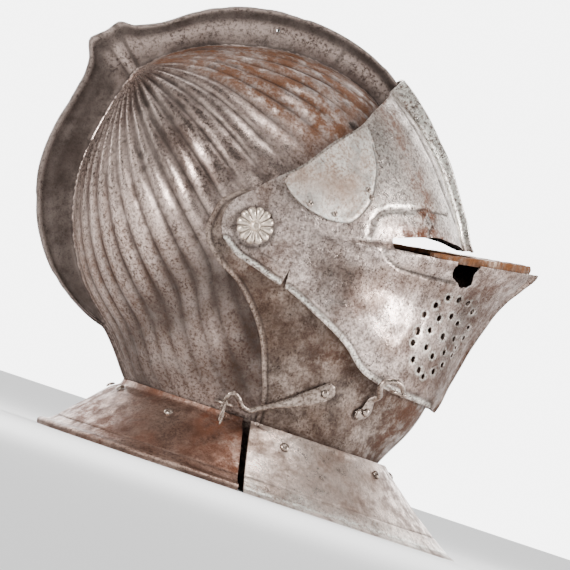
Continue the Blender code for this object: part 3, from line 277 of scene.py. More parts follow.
# Lines in the side view, in mm from the pivot axis: forward, up
SIGHT_FRAME_ABOVE = ((76, 18), (75, 27), (78, 33), (86, 38), (94, 40), (112, 45), (131, 47))
SIGHT_FRAME_BELOW = ((86, 13), (92, 7), (103, 4), (123, 5), (144, 7))
SIGHT_RUST = ((96, 26), (112, 28), (126, 31), (138, 31))
BROW_CRACK = ((120, 28), (118, 33), (120, 37), (116, 41), (110, 42))
BROW_CRACK_FORK = ((118, 33), (122, 38), (121, 42))
CHEEK_LINE = ((21, 11), (32, 11), (44, 11), (56, 10), (70, 8), (84, 5))
CHEEK_LINE_LOW = ((11, -15), (18, -16), (25, -19))
PROW_CREASE = ((158, 8), (175, 12), (191, 16))
BROW_RUST = ((66, 104), (84, 80), (104, 60), (118, 44))
KEEL_ROOT_LINE = ((79, 105), (100, 88), (113, 75), (124, 62), (134, 52), (141, 45))
# Strength of the flutes from the comb in front (0) round to the comb behind (22)
FLUTE_FORCE = (
    (0, 0.30), (3, 0.32), (6, 0.50), (8, 0.85), (10, 1.40), (12, 1.60), (14, 1.50), (16, 1.05), (18, 0.70),
    (20, 0.60), (22, 0.60),
)
# Painted shade in a patch low on the bowl, and the dirt round the breath holes
BOWL_SHADE_LINE = ((-4, -34), (-30, -52), (-34, -80), (-18, -108))
BREATH_DIRT_LINE = ((132, -2), (160, -10), (140, -50), (150, -44))
BOWL_CRACKS = (
    ((-84, 49), (-80, 46), (-76, 45), (-71, 40)), ((-79, 24), (-76, 20), (-72, 21)),
    ((-48, 44), (-44, 40), (-42, 41)), ((-62, 60), (-58, 55)),
)
# Hole in the comb: angle and distance in mm from the pivot axis, and its radius
COMB_HOLE = (92.0, 124.0)
COMB_HOLE_RADIUS = 1.2 * MM
COMB_HOLE_SIDES = 14
COMB_SEAM_ANGLE = 71.5
# Rim and size of the holes, which the old surface has widened
BREATH_HOLE_GROWTH = 1.12
BREATH_HOLE_SIDES = 14
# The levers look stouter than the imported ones; back from the leaf's end in mm, share of its width
HOOK_STOUTNESS = 1.12
LEAF_END = ((1.6, 0.55), (1.2, 0.78), (0.7, 0.91))
TIP_TURNS = (0.35, 0.70, 0.92, 1.0)
# Ledge: drop of its outer lip, length of its blunt end, length of the solid part in front
LIP_DROP = 1.9 * MM
BLUNT_END = 2.6 * MM
LEDGE_TONGUE = 0.20
# Rosette: share of its radius, share of its height, petal share, depth between petals in mm
ROSETTE_ROWS = (
    (0.97, 0.16, 0.13, 0.1), (1.00, 0.34, 0.16, 0.3), (0.97, 0.52, 0.16, 0.6), (0.90, 0.68, 0.15, 0.9),
    (0.80, 0.80, 0.14, 1.1), (0.68, 0.84, 0.10, 1.1), (0.56, 0.80, 0.07, 1.0), (0.44, 0.70, 0.04, 0.8),
    (0.34, 0.60, 0.0, 0.5), (0.28, 0.58, 0.0, 0.1), (0.25, 0.78, 0.0, 0.0), (0.20, 0.92, 0.0, 0.0),
    (0.12, 0.98, 0.0, 0.0), (0.03, 1.00, 0.0, 0.0),
)
# Mesh steps: visor below, in and above the sight, chin piece, neck plates, ledge, repair plate
VISOR_STEPS = (78, 7, 50)
CHIN_STEPS = (96, 84)
NECK_STEPS = (84, 78)
LEDGE_STEPS = (70, 14)
PATCH_STEPS = (90, 60)
WELD_DISTANCE = 2e-6
# Angles in degrees above which an edge stays hard
CUT_EDGE = 38.0
LEDGE_EDGE = 45.0
NECK_PLATE_EDGE = 50.0
TURNED_EDGE = 60.0

# Steels: name, plain, pale and dark tone, rust, share of rust, pits, roughness, metal, brushing, specks
# Colour of dirt, and of painted shade in hollows, lines and creases
DIRT_AND_SHADE_TONE = (0.014, 0.009, 0.007)
RUST_TONE = (0.168, 0.066, 0.028)
BROWN_TONE = (0.100, 0.040, 0.020)
LOOKS = {
    "steel_skull": ("skull_steel", (0.112, 0.072, 0.058), (0.43, 0.335, 0.292), (0.014, 0.008, 0.006),
                    RUST_TONE, 0.6, 0.15, 0.28, 0.90, 0.5, 0.50),
    "steel_neck": ("neck_steel", (0.195, 0.108, 0.078), (0.40, 0.275, 0.22), (0.040, 0.020, 0.014),
                   (0.180, 0.060, 0.028), 0.6, 0.6, 0.36, 0.85, 0.3, 0.60),
    "steel_neck_front": ("neck_front_steel", (0.46, 0.33, 0.265), (0.86, 0.70, 0.61), (0.085, 0.048, 0.033),
                         BROWN_TONE, 0.4, 0.4, 0.31, 0.90, 0.3, 0.40),
    "steel_chin": ("chin_steel", (0.150, 0.102, 0.078), (0.40, 0.31, 0.26), (0.020, 0.012, 0.009),
                   BROWN_TONE, 0.5, 0.7, 0.34, 0.88, 0.3, 0.65),
    "steel_visor": ("visor_steel", (0.335, 0.245, 0.203), (0.80, 0.660, 0.590), (0.036, 0.019, 0.014),
                    (0.150, 0.054, 0.026), 0.55, 0.9, 0.31, 0.88, 0.3, 0.78),
    "steel_rust": ("ledge_steel", (0.150, 0.072, 0.038), (0.40, 0.30, 0.23), (0.034, 0.015, 0.008),
                   (0.240, 0.084, 0.024), 0.9, 0.5, 0.50, 0.50, 0.3, 0.5),
    "steel_patch": ("patch_steel", (0.56, 0.415, 0.330), (0.86, 0.715, 0.620), (0.120, 0.068, 0.046),
                    (0.260, 0.125, 0.065), 0.4, 0.5, 0.30, 0.88, 0.3, 0.45),
    "steel_bright": ("bright_steel", (0.40, 0.305, 0.235), (0.62, 0.52, 0.43), (0.130, 0.082, 0.056),
                     (0.200, 0.100, 0.050), 0.1, 0.1, 0.36, 0.86, 0.2, 0.25),
    "steel_hook": ("hook_steel", (0.120, 0.086, 0.068), (0.36, 0.29, 0.245), (0.020, 0.012, 0.009),
                   (0.110, 0.038, 0.018), 0.40, 0.3, 0.28, 0.88, 0.2, 0.50),
    "inside": ("inside_steel", (0.050, 0.033, 0.024), (0.100, 0.076, 0.062), (0.012, 0.008, 0.006),
               (0.085, 0.028, 0.011), 0.6, 0.5, 0.58, 0.60, 0.2, 0.5),
}

# Studio: floor, brightness of the surroundings from the camera's side to the back, and lamps
FLOOR_REACH = 12.0
FLOOR_TONE = (0.93, 0.93, 0.93, 1.0)
FLOOR_ROUGHNESS = 0.9
WORLD_SHADE = {"From Min": 0.15, "From Max": 0.95, "To Min": 0.02, "To Max": 6.0}
WORLD_TONE = (1.0, 1.0, 1.0, 1.0)
# Name, place, size in metres and power in watts
LAMPS = (
    ("left", (-1.25, -1.05, 0.55), 0.45, 37.0), ("right", (1.5, -0.5, 0.6), 0.45, 34.0),
    ("top", (0.1, -0.45, 1.6), 0.7, 16.0), ("front", (0.2, -1.9, 0.9), 0.6, 2.5),
)

# Camera: long lens at the photograph's angle, rolled as the helmet is tilted in the photograph
TARGET = (0.0071, 0.0004, 0.1327)
CAMERA_DISTANCE = 6.0
PICTURE_WIDTH = 0.3619
SENSOR_WIDTH = 36.0
CLIP_END = 60.0
ROLL = math.radians(18.9)
YAW = math.radians(12.0)
RISE = math.radians(3.1)


def read(table, at, index=1):
    """Smooth reading of a table that never overshoots its values."""
    places = np.array([row[0] for row in table], float)
    values = np.array([row[index] for row in table], float)
    steps = np.diff(places)
    rises = np.diff(values) / steps
    slopes = np.zeros_like(values)
    for i in range(1, len(values) - 1):
        if rises[i - 1] * rises[i] > 0.0:
            before = 2.0 * steps[i] + steps[i - 1]
            after = steps[i] + 2.0 * steps[i - 1]
            slopes[i] = (before + after) / (before / rises[i - 1] + after / rises[i])
    slopes[0] = rises[0]
    slopes[-1] = rises[-1]
    at = np.clip(np.asarray(at, float), places[0], places[-1])
    i = np.clip(np.searchsorted(places, at, side="right") - 1, 0, len(steps) - 1)
    t = (at - places[i]) / steps[i]
    return ((1.0 + 2.0 * t) * (1.0 - t) ** 2 * values[i] + t * (1.0 - t) ** 2 * steps[i] * slopes[i]
            + t * t * (3.0 - 2.0 * t) * values[i + 1] + t * t * (t - 1.0) * steps[i] * slopes[i + 1])


def ease(value):
    value = np.clip(value, 0.0, 1.0)
    return value * value * (3.0 - 2.0 * value)


def bell(value, width):
    return np.exp(-(value / width) ** 2)


def rounded(half_width, distance, reach, power_in=2.0, power_out=2.0):
    """Half-width at a distance from the axis; close to the axis all plates share one dome."""
    share = np.minimum(1.0, distance / reach)
    own = half_width * (1.0 - share ** power_in) ** (1.0 / power_out)
    dome = half_width * np.sqrt(np.maximum(0.0, 1.0 - (distance / CHEEK_RADIUS) ** 2))
    blend = ease((distance - CHEEK_FLAT) / CHEEK_BLEND)
    return dome * (1.0 - blend) + own * blend


def polar(forward, up):
    return np.hypot(forward, up), np.degrees(np.arctan2(up, forward))


def ray(angle):
    return np.cos(np.radians(angle)), np.sin(np.radians(angle))


def from_axis(grid, drop=0.0):
    """Distance in the side view from the pivot axis, or from a line just below it."""
    return polar(grid[..., 0] - PIVOT_FORWARD, grid[..., 2] - PIVOT_HEIGHT + drop)[0]


def place(forward, side, up):
    """Points in the row frame from side view positions about the pivot axis."""
    forward, side, up = np.broadcast_arrays(forward, side, up)
    return np.stack([PIVOT_FORWARD + forward, side, PIVOT_HEIGHT + up], axis=-1)


def bowl_half_width(distance, angle):
    edge = 360.0 + read(BEVOR_EDGE, distance / BOWL_RADIUS)
    turned_angle = np.minimum(angle % 360.0, edge)
    return rounded(BOWL_HALF_WIDTH, distance, BOWL_RADIUS * read(BOWL_OUTLINE, turned_angle))


def bevor_half_width(distance, angle):
    return rounded(BEVOR_HALF_WIDTH, distance, FACE_REACH * read(BEVOR_OUTLINE, angle))


def visor_half_width(distance, angle):
    root = FACE_REACH * read(VISOR_KEEL, angle, 2)
    side = read(VISOR_KEEL, angle, 3) * MM
    power_in = read(VISOR_ROUND, angle, 1)
    power_out = read(VISOR_ROUND, angle, 2)
    reach = root / (1.0 - (side / VISOR_HALF_WIDTH) ** power_out) ** (1.0 / power_in)
    return rounded(VISOR_HALF_WIDTH, distance, reach, power_in, power_out)


def surface(half_width, forward, up, lift=0.0, side=-1.0):
    """Points on a plate, lifted off it along its normals, and those normals."""
    step = 0.5 * MM
    slope_x = (half_width(*polar(forward + step, up)) - half_width(*polar(forward - step, up))) / (2 * step)
    slope_z = (half_width(*polar(forward, up + step)) - half_width(*polar(forward, up - step))) / (2 * step)
    normal = np.stack(np.broadcast_arrays(-slope_x, side, -slope_z), axis=-1)
    normal = normal / np.linalg.norm(normal, axis=-1, keepdims=True)
    base = place(forward, side * half_width(*polar(forward, up)), up)
    return base + normal * np.asarray(lift)[..., None], normal


def surface_spot(half_width, spot, lift=0.0, side=-1.0):
    point, normal = surface(half_width, spot[0] * FACE_REACH, spot[1] * FACE_REACH, lift, side)
    return Vector(point), Vector(normal)


def noise(points, cell, seed):
    """Smooth value noise from -1 to 1 on a lattice of the given cell."""
    scaled = points / cell + 100.0
    base = np.floor(scaled).astype(np.int64)
    t = scaled - base
    t = t * t * (3.0 - 2.0 * t)
    total = 0.0
    for corner in range(8):
        bits = np.array(((corner >> 0) & 1, (corner >> 1) & 1, (corner >> 2) & 1))
        cell_at = base + bits
        mixed = (cell_at[..., 0] * 73856093) ^ (cell_at[..., 1] * 19349663) ^ (cell_at[..., 2] * 83492791)
        mixed = (mixed ^ (seed * 7919)) & 0x7FFFFFFF
        mixed = ((mixed ^ (mixed >> 13)) * 1274126177) & 0x7FFFFFFF
        value = ((mixed ^ (mixed >> 16)) & 0xFFFF) / 32767.5 - 1.0
        weight = np.prod(np.where(bits == 1, t, 1.0 - t), axis=-1)
        total = total + value * weight
    return total


def layered(points, cell, seed, layers=3):
    return sum(noise(points, cell / 2 ** k, seed + k) / 2 ** k for k in range(layers))


def away(points, line):
    """Distance in mm, in the side view, of points from a line given in mm from the axis."""
    flat = np.stack([(points[..., 0] - PIVOT_FORWARD) / MM, (points[..., 2] - PIVOT_HEIGHT) / MM], axis=-1)
    line = np.asarray(line, float)
    best = np.full(flat.shape[:-1], 1e9)
    for a, b in zip(line[:-1], line[1:]):
        run = b - a
        t = np.clip(((flat - a) @ run) / (run @ run), 0.0, 1.0)
        best = np.minimum(best, np.linalg.norm(flat - a - t[..., None] * run, axis=-1))
    return best


def away_from_spot(points, forward, up):
    """Distance in mm, in the side view, from a spot given in shares of FACE_REACH."""
    spot = (forward * FACE_REACH / MM, up * FACE_REACH / MM)
    return away(points, (spot, (spot[0] + 0.01, spot[1])))


def edge_line(table, count=60):
    shares = np.linspace(0.0, 1.0, count)
    return np.stack([read(table, shares, 1), read(table, shares, 2)], axis=-1) * FACE_REACH / MM


def grid_normals(points):
    along = np.gradient(points, axis=1)
    across = np.gradient(points, axis=0)
    normal = np.cross(across, along)
    normal = normal / np.maximum(np.linalg.norm(normal, axis=-1, keepdims=True), 1e-12)
    out = points - np.array((PIVOT_FORWARD, 0.0, PIVOT_HEIGHT))
    return normal * (1.0 if np.sum(normal * out) > 0.0 else -1.0)


def hammered(points, seed, strength=1.0):
    return strength * (HAMMER_DEPTH * layered(points, HAMMER_CELL, seed, 2)
                       - DENT_DEPTH * np.maximum(0.0, layered(points, DENT_CELL, seed + 9, 2)))


class Sheet:
    """Grids of points, with vertex values from 0 to 1, that become one mesh."""

    # Vertex values: dirt with painted shade, rust, and wear with painted highlights
    NAMES = ("dirt_and_shade", "rust", "wear")

    def __init__(self):
        self.points = []
        self.faces = []
        self.values = {name: [] for name in self.NAMES}
        self.count = 0

    def add(self, grid, values=None, keep=None, wrap=False):
        rows, width = grid.shape[:2]
        self.points.append(grid.reshape(-1, 3))
        for name in self.NAMES:
            own = np.clip((values or {}).get(name, 0.0), 0.0, 1.0)
            self.values[name].append(np.broadcast_to(own, (rows, width)).reshape(-1))
        index = np.arange(rows * width).reshape(rows, width) + self.count
        if wrap:
            index = np.concatenate([index, index[:, :1]], axis=1)
        quads = np.stack([index[:-1, :-1], index[:-1, 1:], index[1:, 1:], index[1:, :-1]], axis=-1)
        self.faces.append(quads[keep] if keep is not None else quads.reshape(-1, 4))
        self.count += rows * width
        return index

    def object(self, name, closed=False):
        mesh = bpy.data.meshes.new(name)
        faces = [list(map(int, face)) for block in self.faces for face in block]
        mesh.from_pydata(np.concatenate(self.points).tolist(), [], faces)
        for value_name in self.NAMES:
            layer = mesh.attributes.new(value_name, "FLOAT", "POINT")
            layer.data.foreach_set("value", np.concatenate(self.values[value_name]).astype(np.float32))
        made = bmesh.new()
        made.from_mesh(mesh)
        bmesh.ops.remove_doubles(made, verts=made.verts, dist=WELD_DISTANCE)
        bmesh.ops.dissolve_degenerate(made, edges=made.edges, dist=WELD_DISTANCE)
        finish_mesh(made, mesh, closed)
        return link(name, mesh)


def finish_mesh(made, mesh, closed):
    bmesh.ops.recalc_face_normals(made, faces=made.faces)
    if closed and made.calc_volume(signed=True) < 0.0:
        bmesh.ops.reverse_faces(made, faces=made.faces)
    if not closed:
        centre = Vector((PIVOT_FORWARD, 0.0, PIVOT_HEIGHT))
        total = sum(f.normal.dot(f.calc_center_median() - centre) * f.calc_area() for f in made.faces)
        if total < 0.0:
            bmesh.ops.reverse_faces(made, faces=made.faces)
    for face in made.faces:
        face.smooth = True
    made.to_mesh(mesh)
    made.free()


def fill_ends(made):
    """Close the open ends of a tube or a turned solid."""
    shape = bmesh.new()
    shape.from_mesh(made.data)
    bmesh.ops.holes_fill(shape, edges=[edge for edge in shape.edges if edge.is_boundary])
    finish_mesh(shape, made.data, True)
    return made


def harden(made, angle):
    made.data.set_sharp_from_angle(angle=math.radians(angle))
    return made


def link(name, mesh):
    made = bpy.data.objects.new(name, mesh)
    bpy.context.scene.collection.objects.link(made)
    return made


def thicken(target, wall):
    solid = target.modifiers.new("wall", "SOLIDIFY")
    solid.thickness = wall
    solid.offset = -1.0
    solid.use_even_offset = False
    solid.material_offset = 1
    return target


def settle(target, sharp=CUT_EDGE):
    """Apply the modifiers, and keep hard edges crisp."""
    graph = bpy.context.evaluated_depsgraph_get()
    mesh = bpy.data.meshes.new_from_object(target.evaluated_get(graph), preserve_all_data_layers=True,
                                           depsgraph=graph)
    target.modifiers.clear()
    old = target.data
    target.data = mesh
    bpy.data.meshes.remove(old)
    mesh.shade_smooth()
    mesh.set_sharp_from_angle(angle=math.radians(sharp))
    return target


def cut(target, builder, crossing=False):
    mesh = bpy.data.meshes.new("cutter")
    bmesh.ops.recalc_face_normals(builder, faces=builder.faces)
    builder.to_mesh(mesh)
    builder.free()
    tool = link("cutter", mesh)
    boolean = target.modifiers.new("cut", "BOOLEAN")
    boolean.operation = "DIFFERENCE"
    boolean.solver = "EXACT"
    boolean.use_self = crossing
    boolean.object = tool
    settle(target)
    bpy.data.objects.remove(tool, do_unlink=True)
    bpy.data.meshes.remove(mesh)
    return target


def rod(made, start, end, radii):
    """Closed many-sided rod, one radius for each corner."""
    axis = (end - start).normalized()
    turn = Vector((0.0, 0.0, 1.0)).rotation_difference(axis).to_matrix()
    count = len(radii)
    rings = []
    for point in (start, end):
        ring = []
        for k, radius in enumerate(radii):
            angle = 2.0 * math.pi * k / count
            ring.append(made.verts.new(point + turn @ Vector((radius * math.cos(angle),
                                                              radius * math.sin(angle), 0.0))))
        rings.append(ring)
    for k in range(count):
        m = (k + 1) % count
        made.faces.new((rings[0][k], rings[0][m], rings[1][m], rings[1][k]))
    made.faces.new(list(reversed(rings[0])))
    made.faces.new(rings[1])


def prism(outline, low, high):
    made = bmesh.new()
    near = [made.verts.new(Vector(place(x * FACE_REACH, low, z * FACE_REACH))) for x, z in outline]
    far = [made.verts.new(Vector(place(x * FACE_REACH, high, z * FACE_REACH))) for x, z in outline]
    made.faces.new(near)
    made.faces.new(list(reversed(far)))
    for i in range(len(outline)):
        j = (i + 1) % len(outline)
        made.faces.new((near[j], near[i], far[i], far[j]))
    return made


def jagged(outline, steps, size, seed):
    """Break the edges of an outline into short uneven ones."""
    rng = np.random.default_rng(seed)
    points = []
    for a, b in zip(outline, outline[1:] + outline[:1]):
        for k in range(steps):
            t = k / steps
            offset = rng.uniform(-size, size, 2) if k else np.zeros(2)
            points.append((a[0] + (b[0] - a[0]) * t + offset[0], a[1] + (b[1] - a[1]) * t + offset[1]))
    return points


def mirrored(grid):
    return grid * np.array((1.0, -1.0, 1.0))


def fan(around, along):
    """Points of a fan that starts at the hub on the comb, as the part's bowl has it."""
    hub = math.radians(HUB_ANGLE)
    fan_x = math.sin(hub) * np.cos(around)
    fan_z = -math.cos(hub) * np.cos(around)
    ray_x = math.cos(hub) * np.cos(along) + fan_x * np.sin(along)
    ray_y = np.sin(around) * np.sin(along)
    ray_z = math.sin(hub) * np.cos(along) + fan_z * np.sin(along)
    base = COMB_BASE_HALF / BOWL_HALF_WIDTH
    sideways = np.sqrt(base * base + (1.0 - base * base) * ray_y * ray_y)
    angle = np.degrees(np.arctan2(ray_z, ray_x)) % 360.0
    distance = BOWL_RADIUS * read(BOWL_OUTLINE, angle) * np.sqrt(np.maximum(0.0, 1.0 - sideways ** 2))
    return distance * np.cos(np.radians(angle)), distance * np.sin(np.radians(angle)), distance, angle


def bowl_inside(around, along):
    forward, up, _, _ = fan(around, along)
    return ((up >= NECK_EDGE - PIVOT_HEIGHT)
            & (forward < BOWL_RADIUS * read(BOWL_FRONT, up / BOWL_RADIUS)))


def fan_ends(around):
    """How far each line of the fan runs before it leaves the bowl."""
    steps = np.radians(np.arange(2, 179))
    inside = bowl_inside(around[:, None], steps[None, :])
    first_out = np.argmin(inside, axis=1)
    low = steps[first_out] - math.radians(1.0)
    high = steps[first_out]
    for _ in range(20):
        middle = 0.5 * (low + high)
        now = bowl_inside(around, middle)
        low = np.where(now, middle, low)
        high = np.where(now, high, middle)
    return low


def flute_relief(around, share, distance):
    """Depth below the ribs, and how deep in a hollow a point lies from 0 to 1."""
    phase = around * FLUTE_COUNT / math.pi
    rng = np.random.default_rng(FLUTE_SEED)
    strength = rng.uniform(0.82, 1.15, FLUTE_COUNT + 1)
    own = np.interp(phase, np.arange(FLUTE_COUNT + 1), strength)
    soft = 0.5 - 0.5 * np.cos(2.0 * math.pi * phase)
    sharp = 1.0 - np.abs(np.cos(math.pi * phase))
    force = read(FLUTE_FORCE, phase)
    crease = np.maximum(ease((share - 0.30) / 0.30), ease((9.0 - phase) / 3.0))
    hollow = (1.0 - crease) * (0.55 * soft + 0.45 * sharp) + crease * (0.35 * soft + 0.65 * sharp ** 3)
    fall = 1.0 - 0.75 * ease((share - 0.62) / 0.38)
    clear = ease((distance - 4.0 * PIN_RADIUS) / (6.0 * PIN_RADIUS))
    start = np.minimum(1.0, share / 0.22)
    fall = fall * (force + (1.0 - force) * ease((share - 0.25) / 0.35))
    return FLUTE_DEPTH * own * start * fall * clear * hollow, hollow * start * fall * clear


def bowl_values(grid, side, wide, share, along, up, hollow):
    """Stains, rust and worn ribs of one side of the bowl, with dirt and painted shade in the flute hollows,
    and painted shade beside the comb, in a patch below the pivot and towards the bottom.
    """
    cracks = sum(bell(away(grid, line), 0.9) for line in BOWL_CRACKS) if side < 0.0 else 0.0
    # Painted shade beside the comb at the hub and along the front of the comb
    shade_beside_comb = bell(wide * along * 100.0, 7.0)
    # Painted shade in a patch low on the bowl below the pivot
    shade = bell(away(grid, BOWL_SHADE_LINE), 24.0)
    turn = wide * FLUTE_COUNT / math.pi
    streak = noise(np.stack([3.5 * turn, 9.0 * np.broadcast_to(share[None, :], turn.shape), 0.0 * turn],
                            axis=-1), 1.0, 61)
    front = ease((9.0 - turn) / 3.5) * ease(turn / 1.2) * ease((share[None, :] - 0.03) / 0.12)
    rear = ease((turn - 13.0) / 3.0)
    blotch = noise(grid, 22.0 * MM, 63)
    # Darker towards the bottom of the bowl: painted shade, with rust
    low = ease((-up / MM + 5.0) / 70.0) * (0.75 + 0.45 * blotch)
    return {
        # Dirt and painted shade in the flute hollows
        "dirt_and_shade": (0.9 * np.minimum(1.0, hollow) ** 1.6 * (1.0 - 0.3 * rear) + cracks
                  + 0.30 * shade_beside_comb + 0.5 * shade + 0.85 * low * (1.0 - 0.4 * rear)
                  + 0.18 * front * (1.0 + streak)),
        "rust": (front * (0.95 + 0.6 * streak + 0.3 * noise(grid, 18.0 * MM, 5))
                 + 0.50 * low + 0.2 * rear * streak),
        "wear": (np.maximum(0.0, 1.0 - hollow) ** 2 * (0.35 + 0.65 * rear + 0.3 * streak)
                 * (1.0 - 0.7 * front)),
    }


def comb_sheet(angle, distance, width):
    """Comb over the foot line given: its points and values, from one foot over the crest to the other."""
    crest = np.maximum(COMB_RADIUS * read(COMB_OUTLINE, angle), distance + COMB_LOW_HEIGHT)
    height = crest - distance
    low = np.minimum(1.0, height / (6.0 * MM))
    ray_x, ray_z = ray(angle)
    rib = bell((angle - HUB_ANGLE - 0.5) * crest / MM * math.radians(1.0), 2.6)
    columns = []
    for up_share, side_share in COMB_DETAIL:
        flank = COMB_BASE_HALF * (side_share * low + (1.0 - low) * np.maximum(0.0, 0.95 - 0.55 * up_share))
        if up_share == 0.0:
            flank = width
        elif up_share < 0.95:
            flank = flank + 1.1 * MM * rib * min(1.0, up_share / 0.08)
        at = distance + height * up_share
        columns.append(place(at * ray_x, -flank, at * ray_z))
    right = np.stack(columns, axis=1)
    chips = np.minimum(0.0, layered(right[:, -1:], 9.0 * MM, 21)) * 0.7 * MM
    lift = np.linspace(0.0, 1.0, len(COMB_DETAIL)) ** 6
    radial = np.stack([ray_x, np.zeros_like(ray_x), ray_z], axis=-1)[:, None, :]
    right = right + radial * (chips * lift)[..., None]
    shares = np.array([row[0] for row in COMB_DETAIL])
    full_height = ease(height / (9.0 * MM))[:, None]
    groove = bell(shares - 0.79, 0.11)[None, :] * full_height
    foot = bell(shares, 0.05)[None, :]
    seam_line = bell((angle - COMB_SEAM_ANGLE)[:, None] * 2.2 - (shares * 3.0)[None, :], 0.9)
    rear = ease((angle - 142.0) / 10.0)[:, None] * bell(shares - 0.50, 0.36)[None, :] * full_height
    # Painted shade in the groove, along the foot and beside the rib at the hub; the whole comb, and its
    # rear flank more, are made darker; the seam line is a dark joint
    values = {
        "dirt_and_shade": (0.58 + 1.0 * groove + 0.5 * foot + 1.1 * rear + 0.8 * seam_line
                  + 0.8 * bell(np.abs(angle - HUB_ANGLE - 0.5) - 2.2, 0.5)[:, None] * full_height),
        "rust": np.zeros_like(groove),
        "wear": (bell(shares - 0.93, 0.07)[None, :] + 0.9 * bell(shares - 0.45, 0.18)[None, :] * (1 - rear)
                 + rib[:, None]),
    }
    both = {name: np.concatenate([value, value[:, ::-1]], axis=1) for name, value in values.items()}
    return np.concatenate([right, mirrored(right[:, ::-1])], axis=1), both


def build_skull():
    count = FLUTE_COUNT * LINES_PER_FLUTE
    around = math.pi * np.arange(count + 1) / count
    share = np.linspace(0.0, 1.0, BOWL_STEPS + 1) ** 1.2
    along = fan_ends(around)[:, None] * share[None, :]
    wide = np.broadcast_to(around[:, None], along.shape)
    forward, up, distance, angle = fan(wide, along)
    width = bowl_half_width(distance, angle)
    depth, hollow = flute_relief(wide, share[None, :], distance)
    shrink = 1.0 - depth / BOWL_RADIUS
    seam = np.minimum(np.arange(count + 1), np.arange(count + 1)[::-1])[:, None] / 6.0
    calm = ease(seam) * ease((distance - 30.0 * MM) / (20.0 * MM))
    sheet = Sheet()
    for side in (-1.0, 1.0):
        grid = place(forward * shrink, side * width * shrink, up * shrink)
        grid = grid + grid_normals(grid) * (calm * hammered(grid, 3, 0.8))[..., None]
        sheet.add(grid, bowl_values(grid, side, wide, share, along, up, hollow))
    foot = [np.concatenate([values[0, ::-1], values[-1, 1:]]) for values in (angle, distance, width)]
    sheet.add(*comb_sheet(*foot))
    skull = thicken(sheet.object("skull_shell"), BOWL_WALL)
    hole = bmesh.new()
    angle, radius = COMB_HOLE
    turn = math.radians(angle)
    middle = place(radius * MM * math.cos(turn), 0.0, radius * MM * math.sin(turn))
    across = np.array((0.0, 12.0 * MM, 0.0))
    rod(hole, Vector(middle - across), Vector(middle + across), [COMB_HOLE_RADIUS] * COMB_HOLE_SIDES)
    return cut(skull, hole)


def fitted(point, end_point, share, reach):
    factor = 1.0 + (reach / np.linalg.norm(end_point, axis=-1, keepdims=True) - 1.0) * share ** 4
    return point * factor


def edge_points(table, shares):
    return np.stack([read(table, shares, 1), read(table, shares, 2)], axis=-1) * FACE_REACH


def visor_rows(lower, upper, row_shares, columns):
    """Right half of a band of the visor, from the arm to the middle of the keel."""
    v = row_shares[:, None, None]
    low = edge_points(lower, columns)[None]
    high = edge_points(upper, columns)[None]
    ends = low[:, -1:] * (1.0 - v) + high[:, -1:] * v
    angle = polar(ends[..., 0], ends[..., 1])[1]
    reach = FACE_REACH * read(VISOR_KEEL, angle, 2)
    u = columns[None, :, None]
    point = fitted(low * (1.0 - v) + high * v, ends, u, reach[..., None])
    size = np.linalg.norm(point, axis=-1, keepdims=True)
    point = point * (1.0 + (ARM_RADIUS / size - 1.0) * (1.0 - u) ** 40)
    distance, own_angle = polar(point[..., 0], point[..., 1])
    side = visor_half_width(distance, own_angle)
    root_side = read(VISOR_KEEL, angle, 3) * MM
    crest_side = read(VISOR_KEEL, angle, 4) * MM
    side[:, -1:] = root_side
    plate = place(point[..., 0], -side, point[..., 1])
    crest = FACE_REACH * read(VISOR_KEEL, angle, 1)
    ray_x, ray_z = ray(angle)
    keel = []
    for height_share, side_share in KEEL_DETAIL:
        flank = root_side + (crest_side - root_side) * min(1.0, side_share)
        if side_share > 1.0:
            flank = crest_side / side_share
        at = reach + (crest - reach) * height_share
        keel.append(place(at * ray_x, -flank, at * ray_z))
    return np.concatenate([plate] + keel, axis=1)


